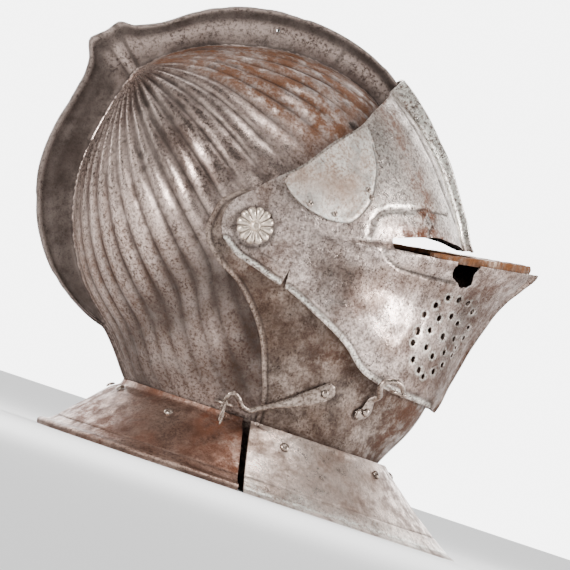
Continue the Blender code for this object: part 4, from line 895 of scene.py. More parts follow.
def visor_detail(grid, side):
    """Reliefs and stains of the visor, with painted shade in its lines and painted highlights by the sight:
    displacement along the normal, and vertex values.
    """
    near_right = 1.0 if side < 0.0 else 0.0
    border = away(grid, edge_line(VISOR_LOWER_EDGE)[:-4])
    rear = away(grid, edge_line(VISOR_UPPER_EDGE))
    above = away(grid, SIGHT_FRAME_ABOVE)
    below = away(grid, SIGHT_FRAME_BELOW)
    lift = -LINE_DEPTH * bell(border - 4.2, 0.9) + 0.5 * LINE_DEPTH * bell(border - 2.4, 1.2)
    lift = lift - 0.8 * MM * bell(above, 1.2) - 0.9 * MM * bell(below, 1.2)
    lift = lift - 0.5 * MM * bell(away(grid, PROW_CREASE), 1.4)
    root = away(grid, KEEL_ROOT_LINE)
    lift = lift - 0.6 * MM * bell(root, 1.0)
    lift = lift - 0.5 * LINE_DEPTH * bell(rear - 3.6, 0.9)
    rims = 0.0
    for forward, up, radius in BREATH_HOLES:
        off = away_from_spot(grid, forward, up)
        lift = lift - 0.55 * MM * bell(off, radius + 0.9)
        rims = rims + bell(off - BREATH_HOLE_GROWTH * radius - 0.5, 0.6)
    holes = away(grid, BREATH_DIRT_LINE)
    cracks = bell(away(grid, BROW_CRACK), 0.7) + bell(away(grid, BROW_CRACK_FORK), 0.7)
    cracks = cracks + 0.7 * bell(away(grid, CHEEK_LINE), 0.6) + 0.6 * bell(away(grid, CHEEK_LINE_LOW), 0.6)
    lift = lift - 0.3 * MM * near_right * cracks
    lift = lift + hammered(grid, 31, 0.9) * ease((from_axis(grid) - 22 * MM) / (14 * MM))
    # Darker at the prow, where the surface turns away from the light: painted shade, with rust
    prow_shade_and_rust = np.maximum(ease((grid[..., 0] - PIVOT_FORWARD - 148.0 * MM) / (12.0 * MM)),
                      ease((30.0 * MM - np.abs(grid[..., 1])) / (16.0 * MM))) * ease(
                          (PIVOT_HEIGHT + 24.0 * MM - grid[..., 2]) / (20.0 * MM))
    # Painted shadow in a ring round the rosette, and darker round the pivot
    ring = bell(from_axis(grid, 1.2 * MM) / MM - ROSETTE_RADIUS / MM - 0.6, 1.6)
    arm = ease((34.0 * MM - from_axis(grid)) / (18.0 * MM))
    brow = ease((grid[..., 2] - PIVOT_HEIGHT - 26.0 * MM) / (18.0 * MM))
    keel = brow * ease((9.0 * MM - np.abs(grid[..., 1])) / (3.0 * MM))
    values = {
        # Painted shade in the pressed lines by the border, the sight frame and the keel root, at the prow
        # and round the rosette, and a painted shadow line along the upper edge; the cracks and the dirt
        # round the breath holes are real
        "dirt_and_shade": (0.8 * bell(border - 4.2, 0.8) + 0.9 * bell(above, 0.8) + 0.95 * bell(below, 0.9)
                  + 0.55 * prow_shade_and_rust + 0.3 * arm + 0.7 * ring + 0.75 * bell(root, 0.9) + near_right * cracks
                  + 0.35 * bell(rear, 1.2) + 0.35 * bell(holes, 15.0)),
        "rust": (0.9 * bell(away(grid, SIGHT_RUST), 5.0) + 0.7 * bell(away(grid, BROW_RUST), 7.0)
                 + near_right * 0.8 * bell(away(grid, BROW_CRACK), 4.0)
                 + 0.35 * bell(holes, 18.0) * (0.5 + noise(grid, 9.0 * MM, 41))
                 + 0.45 * prow_shade_and_rust + 0.25 * noise(grid, 26.0 * MM, 43)),
        # Painted highlights along the sight frame above and below it; wear on the hole rims and by the
        # border; the brow and the keel above the sight are made lighter
        "wear": (0.8 * rims + 0.8 * bell(border - 2.0, 1.2) + 0.2 * bell(above - 2.5, 1.5)
                 + 0.4 * bell(below + 2.0, 2.0) + 0.25 * brow + 0.55 * keel),
    }
    return lift, values


def visor_columns():
    return np.concatenate([np.linspace(0.0, 0.10, 12)[:-1], np.linspace(0.10, SIGHT_START, 46)[:-1],
                           np.linspace(SIGHT_START, 0.93, 80)[:-1], np.linspace(0.93, 1.0, 12)])


def build_visor():
    columns = visor_columns()
    lower, middle, upper = [
        visor_rows(below, above, np.linspace(0.0, 1.0, steps), columns) for below, above, steps in (
            (VISOR_LOWER_EDGE, SIGHT_LOWER_EDGE, VISOR_STEPS[0]),
            (SIGHT_LOWER_EDGE, SIGHT_UPPER_EDGE, VISOR_STEPS[1]),
            (SIGHT_UPPER_EDGE, VISOR_UPPER_EDGE, VISOR_STEPS[2]))]
    grid = np.concatenate([lower, middle[1:-1], upper], axis=0)
    start = int(np.argmin(np.abs(columns - SIGHT_START)))
    keep = np.ones((grid.shape[0] - 1, grid.shape[1] - 1), bool)
    keep[len(lower) - 1:len(lower) + VISOR_STEPS[1] - 2, start:] = False
    sheet = Sheet()
    for side in (-1.0, 1.0):
        own = grid if side < 0.0 else mirrored(grid)
        lift, values = visor_detail(own, side)
        middle_fade = ease(np.abs(own[..., 1]) / (4.0 * MM))
        own = own + grid_normals(own) * (lift * middle_fade)[..., None]
        sheet.add(own, values, keep)
    seam = np.stack([grid[:, -1], mirrored(grid[:, -1])], axis=1)
    sheet.add(seam, None, keep[:, -1:])
    visor = settle(thicken(sheet.object("visor_shell"), VISOR_WALL))
    rng = np.random.default_rng(5)
    holes = bmesh.new()
    for forward, up, radius in BREATH_HOLES:
        for side in (-1.0, 1.0):
            centre, normal = surface_spot(visor_half_width, (forward, up), 0.0, side)
            radii = BREATH_HOLE_GROWTH * radius * MM * (1.0 + rng.uniform(-0.07, 0.07, BREATH_HOLE_SIDES))
            rod(holes, centre - normal * 5.0 * MM, centre + normal * 4.0 * MM, list(radii))
    cut(visor, holes)
    cut(visor, prism(jagged(LOST_METAL, 5, 0.005, 8), -1.2 * VISOR_HALF_WIDTH, -0.2 * VISOR_HALF_WIDTH))
    return cut(visor, prism(EDGE_SLIT, -1.2 * VISOR_HALF_WIDTH, -0.5 * VISOR_HALF_WIDTH))


def coons(bottom, top, left, right, u, v):
    u = u[None, :, None]
    v = v[:, None, None]
    along = bottom[None] * (1.0 - v) + top[None] * v
    across = left[:, None] * (1.0 - u) + right[:, None] * u
    corners = (bottom[0] * (1.0 - u) + bottom[-1] * u) * (1.0 - v) + (top[0] * (1.0 - u) + top[-1] * u) * v
    return along + across - corners


def build_bevor():
    u = np.linspace(0.0, 1.0, CHIN_STEPS[0])
    v = np.linspace(0.0, 1.0, CHIN_STEPS[1])
    edge_up = NECK_EDGE - PIVOT_HEIGHT
    chin = float(read(BEVOR_OUTLINE, CHIN_LOW_ANGLE)) * FACE_REACH
    front_low = np.array((math.sqrt(chin ** 2 - edge_up ** 2), edge_up))
    rear_low = edge_points(BEVOR_REAR, np.array(0.0))
    bottom = np.stack([rear_low[0] * (1.0 - u) + front_low[0] * u, np.full_like(u, edge_up)], axis=-1)
    low_angle = polar(*front_low)[1]
    high_angle = polar(*edge_points(BEVOR_TOP, np.array(1.0)))[1]
    angle = low_angle * (1.0 - v) + high_angle * v
    reach = FACE_REACH * read(BEVOR_OUTLINE, angle)
    front = np.stack([reach * share for share in ray(angle)], axis=-1)
    end = edge_points(BEVOR_TOP, np.array([1.0]))
    top = fitted(edge_points(BEVOR_TOP, u), end, u[:, None], np.linalg.norm(front[-1]))
    side_view = coons(bottom, top, edge_points(BEVOR_REAR, v), front, u, v)
    half = bevor_half_width(*polar(side_view[..., 0], side_view[..., 1]))
    half[:, -1] = 0.0
    right = place(side_view[..., 0], -half, side_view[..., 1])
    grid = np.concatenate([right, mirrored(right[:, -2::-1])], axis=1)
    rear = away(grid, edge_line(BEVOR_REAR))
    lift = hammered(grid, 51, 1.1) * ease((from_axis(grid) - 26 * MM) / (14 * MM))
    lift = lift - LINE_DEPTH * bell(rear - 3.4, 0.8)
    values = {
        # Painted shade in the pressed line by the rear edge, over mottled dirt
        "dirt_and_shade": 0.7 * bell(rear - 3.4, 0.7) + 0.25 + 0.3 * layered(grid, 16.0 * MM, 55),
        "rust": (0.30 + 0.5 * noise(grid, 20.0 * MM, 57)
                 + 0.5 * ease((grid[..., 0] - PIVOT_FORWARD - 110.0 * MM) / (30.0 * MM))),
        "wear": 0.7 * bell(rear - 1.4, 1.0),
    }
    sheet = Sheet()
    sheet.add(grid + grid_normals(grid) * lift[..., None], values)
    return settle(thicken(sheet.object("chin_shell"), BEVOR_WALL))


def neck_curve(share, flare, rear, half_length, half_width, inset):
    """Plan position on a neck plate; share runs from the gap to the middle plane."""
    gap = 0.5 * NECK_PLATE_GAP
    start = NECK_SPLIT - gap if rear else NECK_SPLIT + gap
    length = half_length - inset
    first = math.acos((start - NECK_CENTRE) / length)
    last = math.pi if rear else 0.0
    angle = first * (1.0 - share) + last * share
    ring_x = NECK_CENTRE + length * np.cos(angle)
    ring_y = (half_width - inset) * np.sin(angle)
    turn = 0.5 * math.pi * share
    if rear:
        rim_x = start + (RIM_REAR - start) * np.sin(turn)
        rim_y = RIM_HALF_WIDTH * np.cos(turn)
    else:
        rim_x = start + (RIM_FRONT - start) * np.sin(turn) ** 1.12
        rim_y = RIM_HALF_WIDTH * np.maximum(0.0, np.cos(turn)) ** 1.12
    shrink = 1.0 - 1.5 * inset / np.hypot(rim_x - NECK_SPLIT, rim_y)
    rim_x = np.where(share == 0.0, rim_x, NECK_SPLIT + (rim_x - NECK_SPLIT) * shrink)
    rim_y = rim_y * shrink
    return ring_x * (1.0 - flare) + rim_x * flare, ring_y * (1.0 - flare) + rim_y * flare


def neck_sizes(rear):
    grow = NECK_GAP + NECK_WALL
    if rear:
        return NECK_HALF_LENGTH + grow + 1.0 * MM, NECK_HALF_WIDTH + grow + 0.6 * MM
    half_width = NECK_HALF_WIDTH * BEVOR_HALF_WIDTH / BOWL_HALF_WIDTH
    return NECK_HALF_LENGTH + grow + 4.0 * MM, half_width + grow + 1.4 * MM


def neck_profile(rear, steps):
    profile = REAR_PROFILE if rear else FRONT_PROFILE
    numbered = [(i, flare, height) for i, (flare, height) in enumerate(profile)]
    at = np.linspace(0.0, len(profile) - 1.0, 40 * len(profile))
    flare = read(numbered, at, 1)
    height = read(numbered, at, 2)
    run = np.concatenate([[0.0], np.cumsum(np.hypot(np.diff(flare) * 1.3, np.diff(height)))])
    even = np.linspace(0.0, run[-1], steps)
    return np.interp(even, run, flare), np.interp(even, run, height)


def build_neck(rear, name):
    steps = NECK_STEPS[0]
    flare, height = neck_profile(rear, NECK_STEPS[1])
    half_length, half_width = neck_sizes(rear)
    half = np.linspace(0.0, 1.0, steps + 1)
    share = np.concatenate([half, half[-2::-1]])[None, :]
    side = np.concatenate([-np.ones(steps + 1), np.ones(steps)])[None, :]
    seed = 61 if rear else 71
    sheet = Sheet()
    edges = []
    for inset in (0.0, NECK_WALL):
        x, y = neck_curve(share, flare[:, None], rear, half_length, half_width, inset)
        z = np.broadcast_to(NECK_TOP * height[:, None], x.shape)
        grid = np.stack([PIVOT_FORWARD + x, side * y, z], axis=-1)
        if inset == 0.0:
            normal = np.cross(np.gradient(grid, axis=0), np.gradient(grid, axis=1))
            normal = normal / np.maximum(np.linalg.norm(normal, axis=-1, keepdims=True), 1e-12)
            normal = normal * np.where(normal[..., 2:3] < 0.0, -1.0, 1.0)
            level = grid[..., 2] / MM
            wave = 0.5 * noise(grid, 30.0 * MM, seed + 4)
            line = bell(level - (9.6 if rear else 10.4) - wave, 0.45)
            inner_line = bell(level - 2.6, 0.6) * (0.0 if rear else 1.0)
            free = ease(level / 3.0) * ease((NECK_TOP / MM - level) / 4.0)
            lift = hammered(grid, seed, 1.2) * free - LINE_DEPTH * line - 0.5 * LINE_DEPTH * inner_line
            grid = grid + normal * (lift * (0.25 + 0.75 * free))[..., None]
            low = ease((14.0 - level) / 10.0)
            patchy = layered(grid, 26.0 * MM, seed + 8)
            rust = 0.45 + 0.6 * patchy if rear else 0.10 + 0.35 * patchy + 0.5 * ease(front_share(grid))
            foot = 0.8 * bell(level - 1.5, 1.6) if rear else 0.55 * bell(level - 0.8, 1.0)
            values = {
                # Painted shade in the pressed lines; darker along the bottom edge
                "dirt_and_shade": 0.75 * line + 0.4 * inner_line + foot,
                "rust": rust - 0.2 * low,
                "wear": 0.5 * low * (0.5 + noise(grid, 18.0 * MM, seed + 2)) + 0.6 * bell(level - 3.4, 0.8),
            }
        else:
            values = {"dirt_and_shade": 0.55, "rust": 0.5}
        edges.append(sheet.add(grid, values))
    outer, inner = edges
    for a, b in ((outer[0], inner[0]), (outer[-1], inner[-1]), (outer[:, 0], inner[:, 0]),
                 (outer[:, -1], inner[:, -1])):
        sheet.faces.append(np.stack([a[:-1], a[1:], b[1:], b[:-1]], axis=-1))
    return harden(sheet.object(name, closed=True), NECK_PLATE_EDGE)


def front_share(grid):
    """Grows towards the front middle of the neck plate."""
    return (grid[..., 0] - 0.06) / 0.10


def neck_spot(rear, share, flare, side):
    profile = (REAR_PROFILE if rear else FRONT_PROFILE)[:6]
    half_length, half_width = neck_sizes(rear)

    def at(own_share, own_flare):
        x, y = neck_curve(np.array(own_share), own_flare, rear, half_length, half_width, 0.0)
        height = float(np.interp(own_flare, [row[0] for row in profile], [row[1] for row in profile]))
        return Vector((PIVOT_FORWARD + float(x), side * float(y), NECK_TOP * height))

    here = at(share, flare)
    along = at(min(1.0, share + 0.02), flare) - at(share - 0.02, flare)
    down = at(share, flare + 0.02) - at(share, flare - 0.02)
    if share == 1.0:
        along = Vector((0.0, 1.0, 0.0))
    normal = along.cross(down).normalized()
    if normal.z < 0.0:
        normal.negate()
    return here, normal


def build_ledge():
    stations = np.linspace(LEDGE_START, LEDGE_END, LEDGE_STEPS[0])
    notch_end = LEDGE_END - LEDGE_TONGUE
    outer = visor_half_width(stations * FACE_REACH, np.full_like(stations, 8.25)) - 0.6 * MM
    point = np.minimum(outer, 2.0 * MM + (LEDGE_END - stations) * 0.35)
    outer = np.where(stations > LEDGE_END - 0.02, point, outer)
    fade = np.sqrt(np.maximum(0.0, 1.0 - (np.maximum(0.0, stations - LEDGE_START)
                                          / (notch_end - LEDGE_START)) ** 3))
    inner = np.where(stations < notch_end, (outer - LEDGE_BAND) * fade, 0.0)
    across = np.linspace(0.0, 1.0, LEDGE_STEPS[1])
    side = inner[:, None] * (1.0 - across) + outer[:, None] * across
    skins = []
    for angle in (LEDGE_LOWER_ANGLE, LEDGE_UPPER_ANGLE):
        at = np.broadcast_to(stations[:, None] * FACE_REACH, side.shape)
        sag = angle - (0.10 * (1.0 - across[None, :] ** 4) if angle == LEDGE_UPPER_ANGLE else 0.0)
        ray_x, ray_z = ray(sag)
        skins.append(place(at * ray_x, -side, at * ray_z))
    low, high = skins
    high = high + np.array((0.0, 0.0, 1.0)) * (0.25 * MM * layered(high, 6.0 * MM, 81))[..., None]
    lip = ease((across[None, :] - 0.70) / 0.30) * ease((stations[:, None] - LEDGE_START) / 0.10)
    low = low - np.array((0.0, 0.0, LIP_DROP)) * lip[..., None]
    to_end = (LEDGE_END - stations[:, None]) * FACE_REACH
    blunt = (1.0 - np.sqrt(1.0 - np.maximum(0.0, 1.0 - to_end / BLUNT_END) ** 2))[..., None]
    low, high = low + 0.45 * blunt * (high - low), high + 0.45 * blunt * (low - high)
    open_rows = int(np.sum(stations < notch_end)) + 1
    edges = ((low[:, -1], high[:, -1]), (low[0], high[0]), (low[-1], high[-1]),
             (low[:open_rows, 0], high[:open_rows, 0]))
    stain = bell(np.hypot(high[..., 0] - 0.094, high[..., 1] + 0.05) / MM, 7.0)
    worn = high[..., 0] / MM - 122.0
    values = {
        "dirt_and_shade": 0.9 * stain + 0.2 * ease((high[..., 0] - 0.125) / 0.02),
        "rust": 0.95 - 0.8 * bell(worn, 8.0) - 0.6 * stain,
        "wear": 0.9 * bell(worn, 7.0),
    }
    sheet = Sheet()
    for turn in (np.copy, mirrored):
        sheet.add(turn(high), values)
        sheet.add(turn(low), {"dirt_and_shade": 0.7, "rust": 0.5})
        for edge in edges:
            sheet.add(turn(np.stack(edge, axis=1)), {"dirt_and_shade": 0.2, "rust": 0.9})
    return harden(sheet.object("ledge_plate", closed=True), LEDGE_EDGE)


def build_patch():
    u = np.linspace(0.0, 1.0, PATCH_STEPS[0])
    v = np.linspace(0.0, 1.0, PATCH_STEPS[1])[:, None, None]
    flat = edge_points(PATCH_LOWER_EDGE, u)[None] * (1.0 - v) + edge_points(PATCH_UPPER_EDGE, u)[None] * v
    points, normals = surface(visor_half_width, flat[..., 0], flat[..., 1], PATCH_GAP + PATCH_WALL)
    border = away(points, edge_line(PATCH_LOWER_EDGE))
    lift = 0.25 * MM * bell(border - 3.0, 2.2) - 0.45 * MM * bell(border, 1.1) + hammered(points, 91, 0.7)
    for spot in PATCH_RIVETS:
        lift = lift * (1.0 - bell(away_from_spot(points, *spot), 3.5))
    values = {
        # Painted shadow along the lower edge, where the plate stands over the visor
        "dirt_and_shade": 0.9 * bell(border, 0.9) + 0.15,
        "rust": 0.28 + 0.5 * layered(points, 18.0 * MM, 95) - 0.3 * bell(border, 6.0),
        "wear": 0.5 + 0.5 * layered(points, 22.0 * MM, 97),
    }
    sheet = Sheet()
    sheet.add(points + normals * lift[..., None], values)
    return settle(thicken(sheet.object("patch_plate"), PATCH_WALL))


def sweep(name, points, widths, heights, ups, segments=20, tips=True):
    """Tube with an oval section along a path; its ends are rounded off."""
    count = len(points)
    rings = []
    for i in range(count):
        along = (points[min(count - 1, i + 1)] - points[max(0, i - 1)]).normalized()
        side = along.cross(ups[i]).normalized()
        out = side.cross(along).normalized()
        rings.append((points[i], along, side, out, widths[i], heights[i]))
    if tips:
        for ring, sign in ((rings[0], -1.0), (rings[-1], 1.0)):
            point, along, side, out, width, height = ring
            cap = []
            for turn in TIP_TURNS:
                size = math.sqrt(max(0.0, 1.0 - turn ** 2)) if turn < 1.0 else 0.04
                reach = 0.5 * height * turn * sign
                cap.append((point + along * reach, along, side, out, width * size, height * size))
            rings = cap[::-1] + rings if sign < 0.0 else rings + cap
    grid = np.zeros((len(rings), segments, 3))
    for i, (point, along, side, out, width, height) in enumerate(rings):
        for k in range(segments):
            angle = 2.0 * math.pi * k / segments
            across = side * (0.5 * width * math.cos(angle))
            grid[i, k] = point + across + out * (0.5 * height * math.sin(angle))
    sheet = Sheet()
    sheet.add(grid, {"wear": 0.5, "rust": 0.15}, wrap=True)
    return fill_ends(sheet.object(name))


def smooth_rows(table, per_step):
    """The rows of a table of numbers, with smooth rows between them."""
    numbered = [(i,) + tuple(row) for i, row in enumerate(table)]
    at = np.linspace(0.0, len(table) - 1.0, per_step * (len(table) - 1) + 1)
    return np.stack([read(numbered, at, k + 1) for k in range(len(table[0]))], axis=-1)


def build_hook(name, table, rivet):
    """Hook with a leaf end that is rounded beyond its rivet."""
    rows = smooth_rows(table, 8)
    start, after = np.array(table[0][:2]), np.array(table[1][:2])
    run = (start - after) / np.linalg.norm(start - after)
    lead = []
    for back, size in LEAF_END:
        spot = start + run * back * MM / FACE_REACH
        lead.append((spot[0], spot[1], table[0][2], table[0][3] * size, table[0][4]))
    rows = np.concatenate([np.array(lead), rows])
    rows[:, 3:5] = rows[:, 3:5] * HOOK_STOUTNESS
    points, ups = [], []
    for forward, up, lift, _, _ in rows:
        point, normal = surface_spot(bevor_half_width, (forward, up), lift * MM)
        points.append(point)
        ups.append(normal)
    made = sweep(name, points, list(rows[:, 3] * MM), list(rows[:, 4] * MM), ups)
    bore = bmesh.new()
    centre, normal = surface_spot(bevor_half_width, rivet)
    rod(bore, centre - normal * 6.0 * MM, centre + normal * 6.0 * MM, [HOOK_HOLE_RADIUS] * 20)
    return cut(made, bore, crossing=True)


def build_staple(name, centre, foot):
    spread = STAPLE_WIRE_RADIUS + 0.3 * MM
    start = math.asin(spread / STAPLE_RADIUS)
    points = [Vector((centre.x + spread, foot, centre.z))]
    for k in range(49):
        angle = 0.5 * math.pi - start - (2.0 * math.pi - 2.0 * start) * k / 48
        points.append(centre + Vector((STAPLE_RADIUS * math.cos(angle), STAPLE_RADIUS * math.sin(angle),
                                       0.0)))
    points.append(Vector((centre.x - spread, foot, centre.z)))
    size = [2.0 * STAPLE_WIRE_RADIUS] * len(points)
    return sweep(name, points, size, size, [Vector((0.0, 0.0, 1.0))] * len(points), 16, False)


def build_hanging_pin(name, top, length):
    bend = STAPLE_WIRE_RADIUS + PIN_WIRE_RADIUS + 0.35 * MM
    points = [top + Vector((0.4 * MM * math.sin(5.0 * t), -bend, -length * (1.0 - t))) for t in
              np.linspace(0.0, 0.9, 10)]
    for k in range(13):
        angle = math.pi * k / 12.0
        points.append(top + Vector((0.0, -bend * math.cos(angle), bend * math.sin(angle))))
    points += [top + Vector((0.3 * MM * math.sin(6.0 * t), bend, -0.85 * length * t)) for t in
               np.linspace(0.1, 1.0, 9)]
    size = [2.0 * PIN_WIRE_RADIUS] * len(points)
    return sweep(name, points, size, size, [Vector((1.0, 0.0, 0.0))] * len(points), 12)


def turned(name, profile, base, axis, segments, petals=0):
    """Turned solid: rows of radius, height, petal share of the radius and depth between petals."""
    turn = np.array(Vector((0.0, 0.0, 1.0)).rotation_difference(axis).to_matrix())
    angle = 2.0 * math.pi * np.arange(segments) / segments
    wave = np.abs(np.cos(0.5 * petals * angle)) if petals else np.ones(segments)
    rows = []
    dirt_and_shade = []
    for radius, height, petal, groove in profile:
        own = radius * (1.0 - petal * (1.0 - wave ** 0.6))
        # Painted shade in the grooves between the petals
        shade_between_petals = np.clip(1.0 - 1.7 * wave, 0.0, 1.0)
        rows.append(np.stack([own * np.cos(angle), own * np.sin(angle),
                              height - groove * (1.0 - wave) ** 1.5], axis=-1))
        dirt_and_shade.append(shade_between_petals * min(1.0, groove / (0.6 * MM)))
    grid = np.stack(rows) @ turn.T + np.array(base)
    sheet = Sheet()
    sheet.add(grid, {"dirt_and_shade": np.stack(dirt_and_shade), "wear": 0.5}, wrap=True)
    return harden(fill_ends(sheet.object(name)), TURNED_EDGE)


def dome(radius, start=0.0, flat=0.60):
    rows = [(radius, start, 0.0, 0.0), (radius, start + 0.06 * radius, 0.0, 0.0)]
    for k in range(1, 9):
        turn = 0.5 * math.pi * k / 8.0
        rows.append((max(0.03 * radius, radius * math.cos(turn)), start + 0.06 * radius
                     + (flat - 0.06) * radius * math.sin(turn), 0.0, 0.0))
    return rows


def build_rivet(name, point, normal, radius):
    return turned(name, dome(radius), point + normal * PART_GAP, normal, 28)


def build_hook_pin(name, table, spot):
    surface_at, normal = surface_spot(bevor_half_width, spot)
    top = (table[1][2] + 0.5 * table[1][4]) * MM + 2.0 * PART_GAP
    inside = -BEVOR_WALL - WASHER_GAP
    head = 0.9 * RIVET_RADIUS
    profile = [(0.5 * head, inside - 1.0 * MM, 0.0, 0.0), (head, inside - 0.8 * MM, 0.0, 0.0),
               (head, inside, 0.0, 0.0), (HOOK_PIN_RADIUS, inside, 0.0, 0.0),
               (HOOK_PIN_RADIUS, top, 0.0, 0.0)]
    return turned(name, profile + dome(head, top), surface_at, normal, 28)


def build_pivot(name, side):
    out = Vector((0.0, side, 0.0))
    base = Vector(place(0.0, side * VISOR_HALF_WIDTH, 0.0))
    inside = BOWL_HALF_WIDTH - BOWL_WALL - WASHER_GAP - VISOR_HALF_WIDTH
    profile = [
        (0.6 * MM, inside - 1.4 * MM, 0.0, 0.0), (4.8 * MM, inside - 1.35 * MM, 0.0, 0.0),
        (5.4 * MM, inside - 1.0 * MM, 0.0, 0.0), (5.4 * MM, inside, 0.0, 0.0),
        (PIN_RADIUS, inside, 0.0, 0.0), (PIN_RADIUS, PART_GAP, 0.0, 0.0),
        (0.93 * ROSETTE_RADIUS, PART_GAP, 0.10, 0.0),
    ]
    for radius, height, petal, groove in ROSETTE_ROWS:
        profile.append((radius * ROSETTE_RADIUS, height * ROSETTE_HEIGHT, petal, groove * MM))
    return turned(name, profile, base, out, 12 * PETALS, PETALS)


class Graph:
    """Small helper that adds shader nodes and links them."""

    def __init__(self, name):
        self.material = bpy.data.materials.new(name)
        self.material.use_nodes = True
        self.tree = self.material.node_tree
        self.shader = self.tree.nodes["Principled BSDF"]

    def feed(self, socket, value):
        if isinstance(value, bpy.types.NodeSocket):
            self.tree.links.new(value, socket)
        elif isinstance(value, tuple) and len(value) == 3 and len(socket.default_value) == 4:
            socket.default_value = (*value, 1.0)
        else:
            socket.default_value = value

    def add(self, kind, output, inputs, **settings):
        node = self.tree.nodes.new(kind)
        for key, value in settings.items():
            setattr(node, key, value)
        for key, value in inputs.items():
            self.feed(node.inputs[key], value)
        return node.outputs[output]

    def attribute(self, name):
        return self.add("ShaderNodeAttribute", "Fac", {}, attribute_name=name)

    def noise(self, at, scale, detail=6.0, rough=0.6):
        return self.add("ShaderNodeTexNoise", "Fac", {"Vector": at, "Scale": scale, "Detail": detail,
                                                      "Roughness": rough})

    def cells(self, at, scale):
        return self.add("ShaderNodeTexVoronoi", "Distance", {"Vector": at, "Scale": scale})

    def ramp(self, value, low, high, start=0.0, end=1.0):
        return self.add("ShaderNodeMapRange", "Result", {"Value": value, "From Min": low, "From Max": high,
                                                         "To Min": start, "To Max": end},
                        interpolation_type="SMOOTHSTEP")

    def math(self, operation, a, b=0.0):
        return self.add("ShaderNodeMath", "Value", {0: a, 1: b}, operation=operation, use_clamp=True)

    def mix(self, factor, a, b, blend="MIX"):
        node = self.tree.nodes.new("ShaderNodeMix")
        node.data_type = "RGBA"
        node.blend_type = blend
        self.feed(node.inputs[0], factor)
        self.feed(node.inputs[6], a)
        self.feed(node.inputs[7], b)
        return node.outputs[2]

    def stretch(self, at, scale):
        return self.add("ShaderNodeMapping", "Vector", {"Vector": at, "Scale": scale})


def aged_steel(name, plain, pale, dark, rust, rust_share=0.5, pits=0.5, rough=0.45, metal=0.85, brushed=0.3,
               speckle=0.5):
    """Old steel: mottled tone, pits, dark specks, file marks, rust, wear with painted highlights, and dirt
    with painted shade in the hollows and lines.
    """
    g = Graph(name)
    at = g.add("ShaderNodeTexCoord", "Object", {})
    broad = g.noise(at, 24.0, 4.0)
    patch = g.noise(at, 105.0, 8.0, 0.70)
    fine = g.noise(at, 560.0, 5.0, 0.72)
    grain = g.noise(at, 1700.0, 3.0, 0.6)
    file_marks = g.noise(g.stretch(at, (1.0, 6.0, 6.0)), 260.0, 3.0, 0.7)
    tone = g.mix(g.ramp(broad, 0.35, 0.65), plain, pale)
    tone = g.mix(g.math("MULTIPLY", g.ramp(patch, 0.42, 0.66), 0.70), tone, dark)
    tone = g.mix(g.math("MULTIPLY", g.ramp(fine, 0.38, 0.66), speckle), tone, dark)
    tone = g.mix(g.math("MULTIPLY", g.ramp(grain, 0.32, 0.48, 1.0, 0.0), 0.30 * speckle), tone, pale)
    # Wear and painted highlights lighten the colour
    wear = g.attribute("wear")
    tone = g.mix(g.math("MULTIPLY", wear, g.ramp(fine, 0.62, 0.42)), tone,
                 tuple(min(1.0, 1.5 * c) for c in pale))
    pit_zone = g.ramp(g.noise(at, 130.0, 5.0, 0.7), 0.46, 0.58)
    cells = g.math("MULTIPLY", g.cells(at, 640.0), g.ramp(grain, 0.3, 0.7, 0.5, 1.6))
    pit = g.math("MULTIPLY", g.ramp(cells, 0.16, 0.44, 1.0, 0.0), pit_zone)
    pit = g.math("MULTIPLY", pit, pits)
    tone = g.mix(pit, tone, tuple(0.30 * c for c in dark))
    rust_at = g.math("ADD", g.math("MULTIPLY", g.attribute("rust"), g.ramp(patch, 0.36, 0.56)),
                     g.math("MULTIPLY", g.ramp(g.noise(at, 38.0, 7.0, 0.7), 0.56, 0.72), 0.35 * rust_share))
    rust_at = g.math("MULTIPLY", rust_at, g.ramp(fine, 0.25, 0.55, 0.55, 1.0))
    rust_tone = g.mix(g.ramp(grain, 0.35, 0.65), rust, tuple(0.45 * c for c in rust))
    tone = g.mix(g.math("MULTIPLY", rust_at, min(1.0, 0.45 + rust_share)), tone, rust_tone)
    # Dirt and painted shade darken the colour and dull the steel
    dirt_and_shade = g.attribute("dirt_and_shade")
    tone = g.mix(g.math("MULTIPLY", dirt_and_shade, g.ramp(fine, 0.2, 0.6, 1.0, 0.8)), tone, DIRT_AND_SHADE_TONE)
    g.feed(g.shader.inputs["Base Color"], tone)
    g.feed(g.shader.inputs["Specular IOR Level"], 0.2)
    flat = g.math("ADD", g.math("MULTIPLY", rust_at, 0.55), g.math("MULTIPLY", dirt_and_shade, 0.9))
    g.feed(g.shader.inputs["Metallic"], g.math("MULTIPLY", g.math("SUBTRACT", 1.0, flat), metal))
    gloss = g.ramp(patch, 0.3, 0.7, rough - 0.10, rough + 0.14)
    gloss = g.math("ADD", gloss, g.math("MULTIPLY", flat, 0.55))
    gloss = g.math("ADD", gloss, g.math("MULTIPLY", pit, 0.25))
    g.feed(g.shader.inputs["Roughness"], gloss)
    height = g.math("ADD", g.math("MULTIPLY", patch, 0.35), g.math("MULTIPLY", fine, 0.30))
    height = g.math("ADD", height, g.math("MULTIPLY", file_marks, 0.20 * brushed))
    height = g.math("SUBTRACT", height, g.math("MULTIPLY", pit, 0.22))
    bump = g.add("ShaderNodeBump", "Normal", {"Height": height, "Strength": 0.55, "Distance": 0.55 * MM})
    g.feed(g.shader.inputs["Normal"], bump)
    return g.material


def make_materials():
    return {slot: aged_steel(*look) for slot, look in LOOKS.items()}


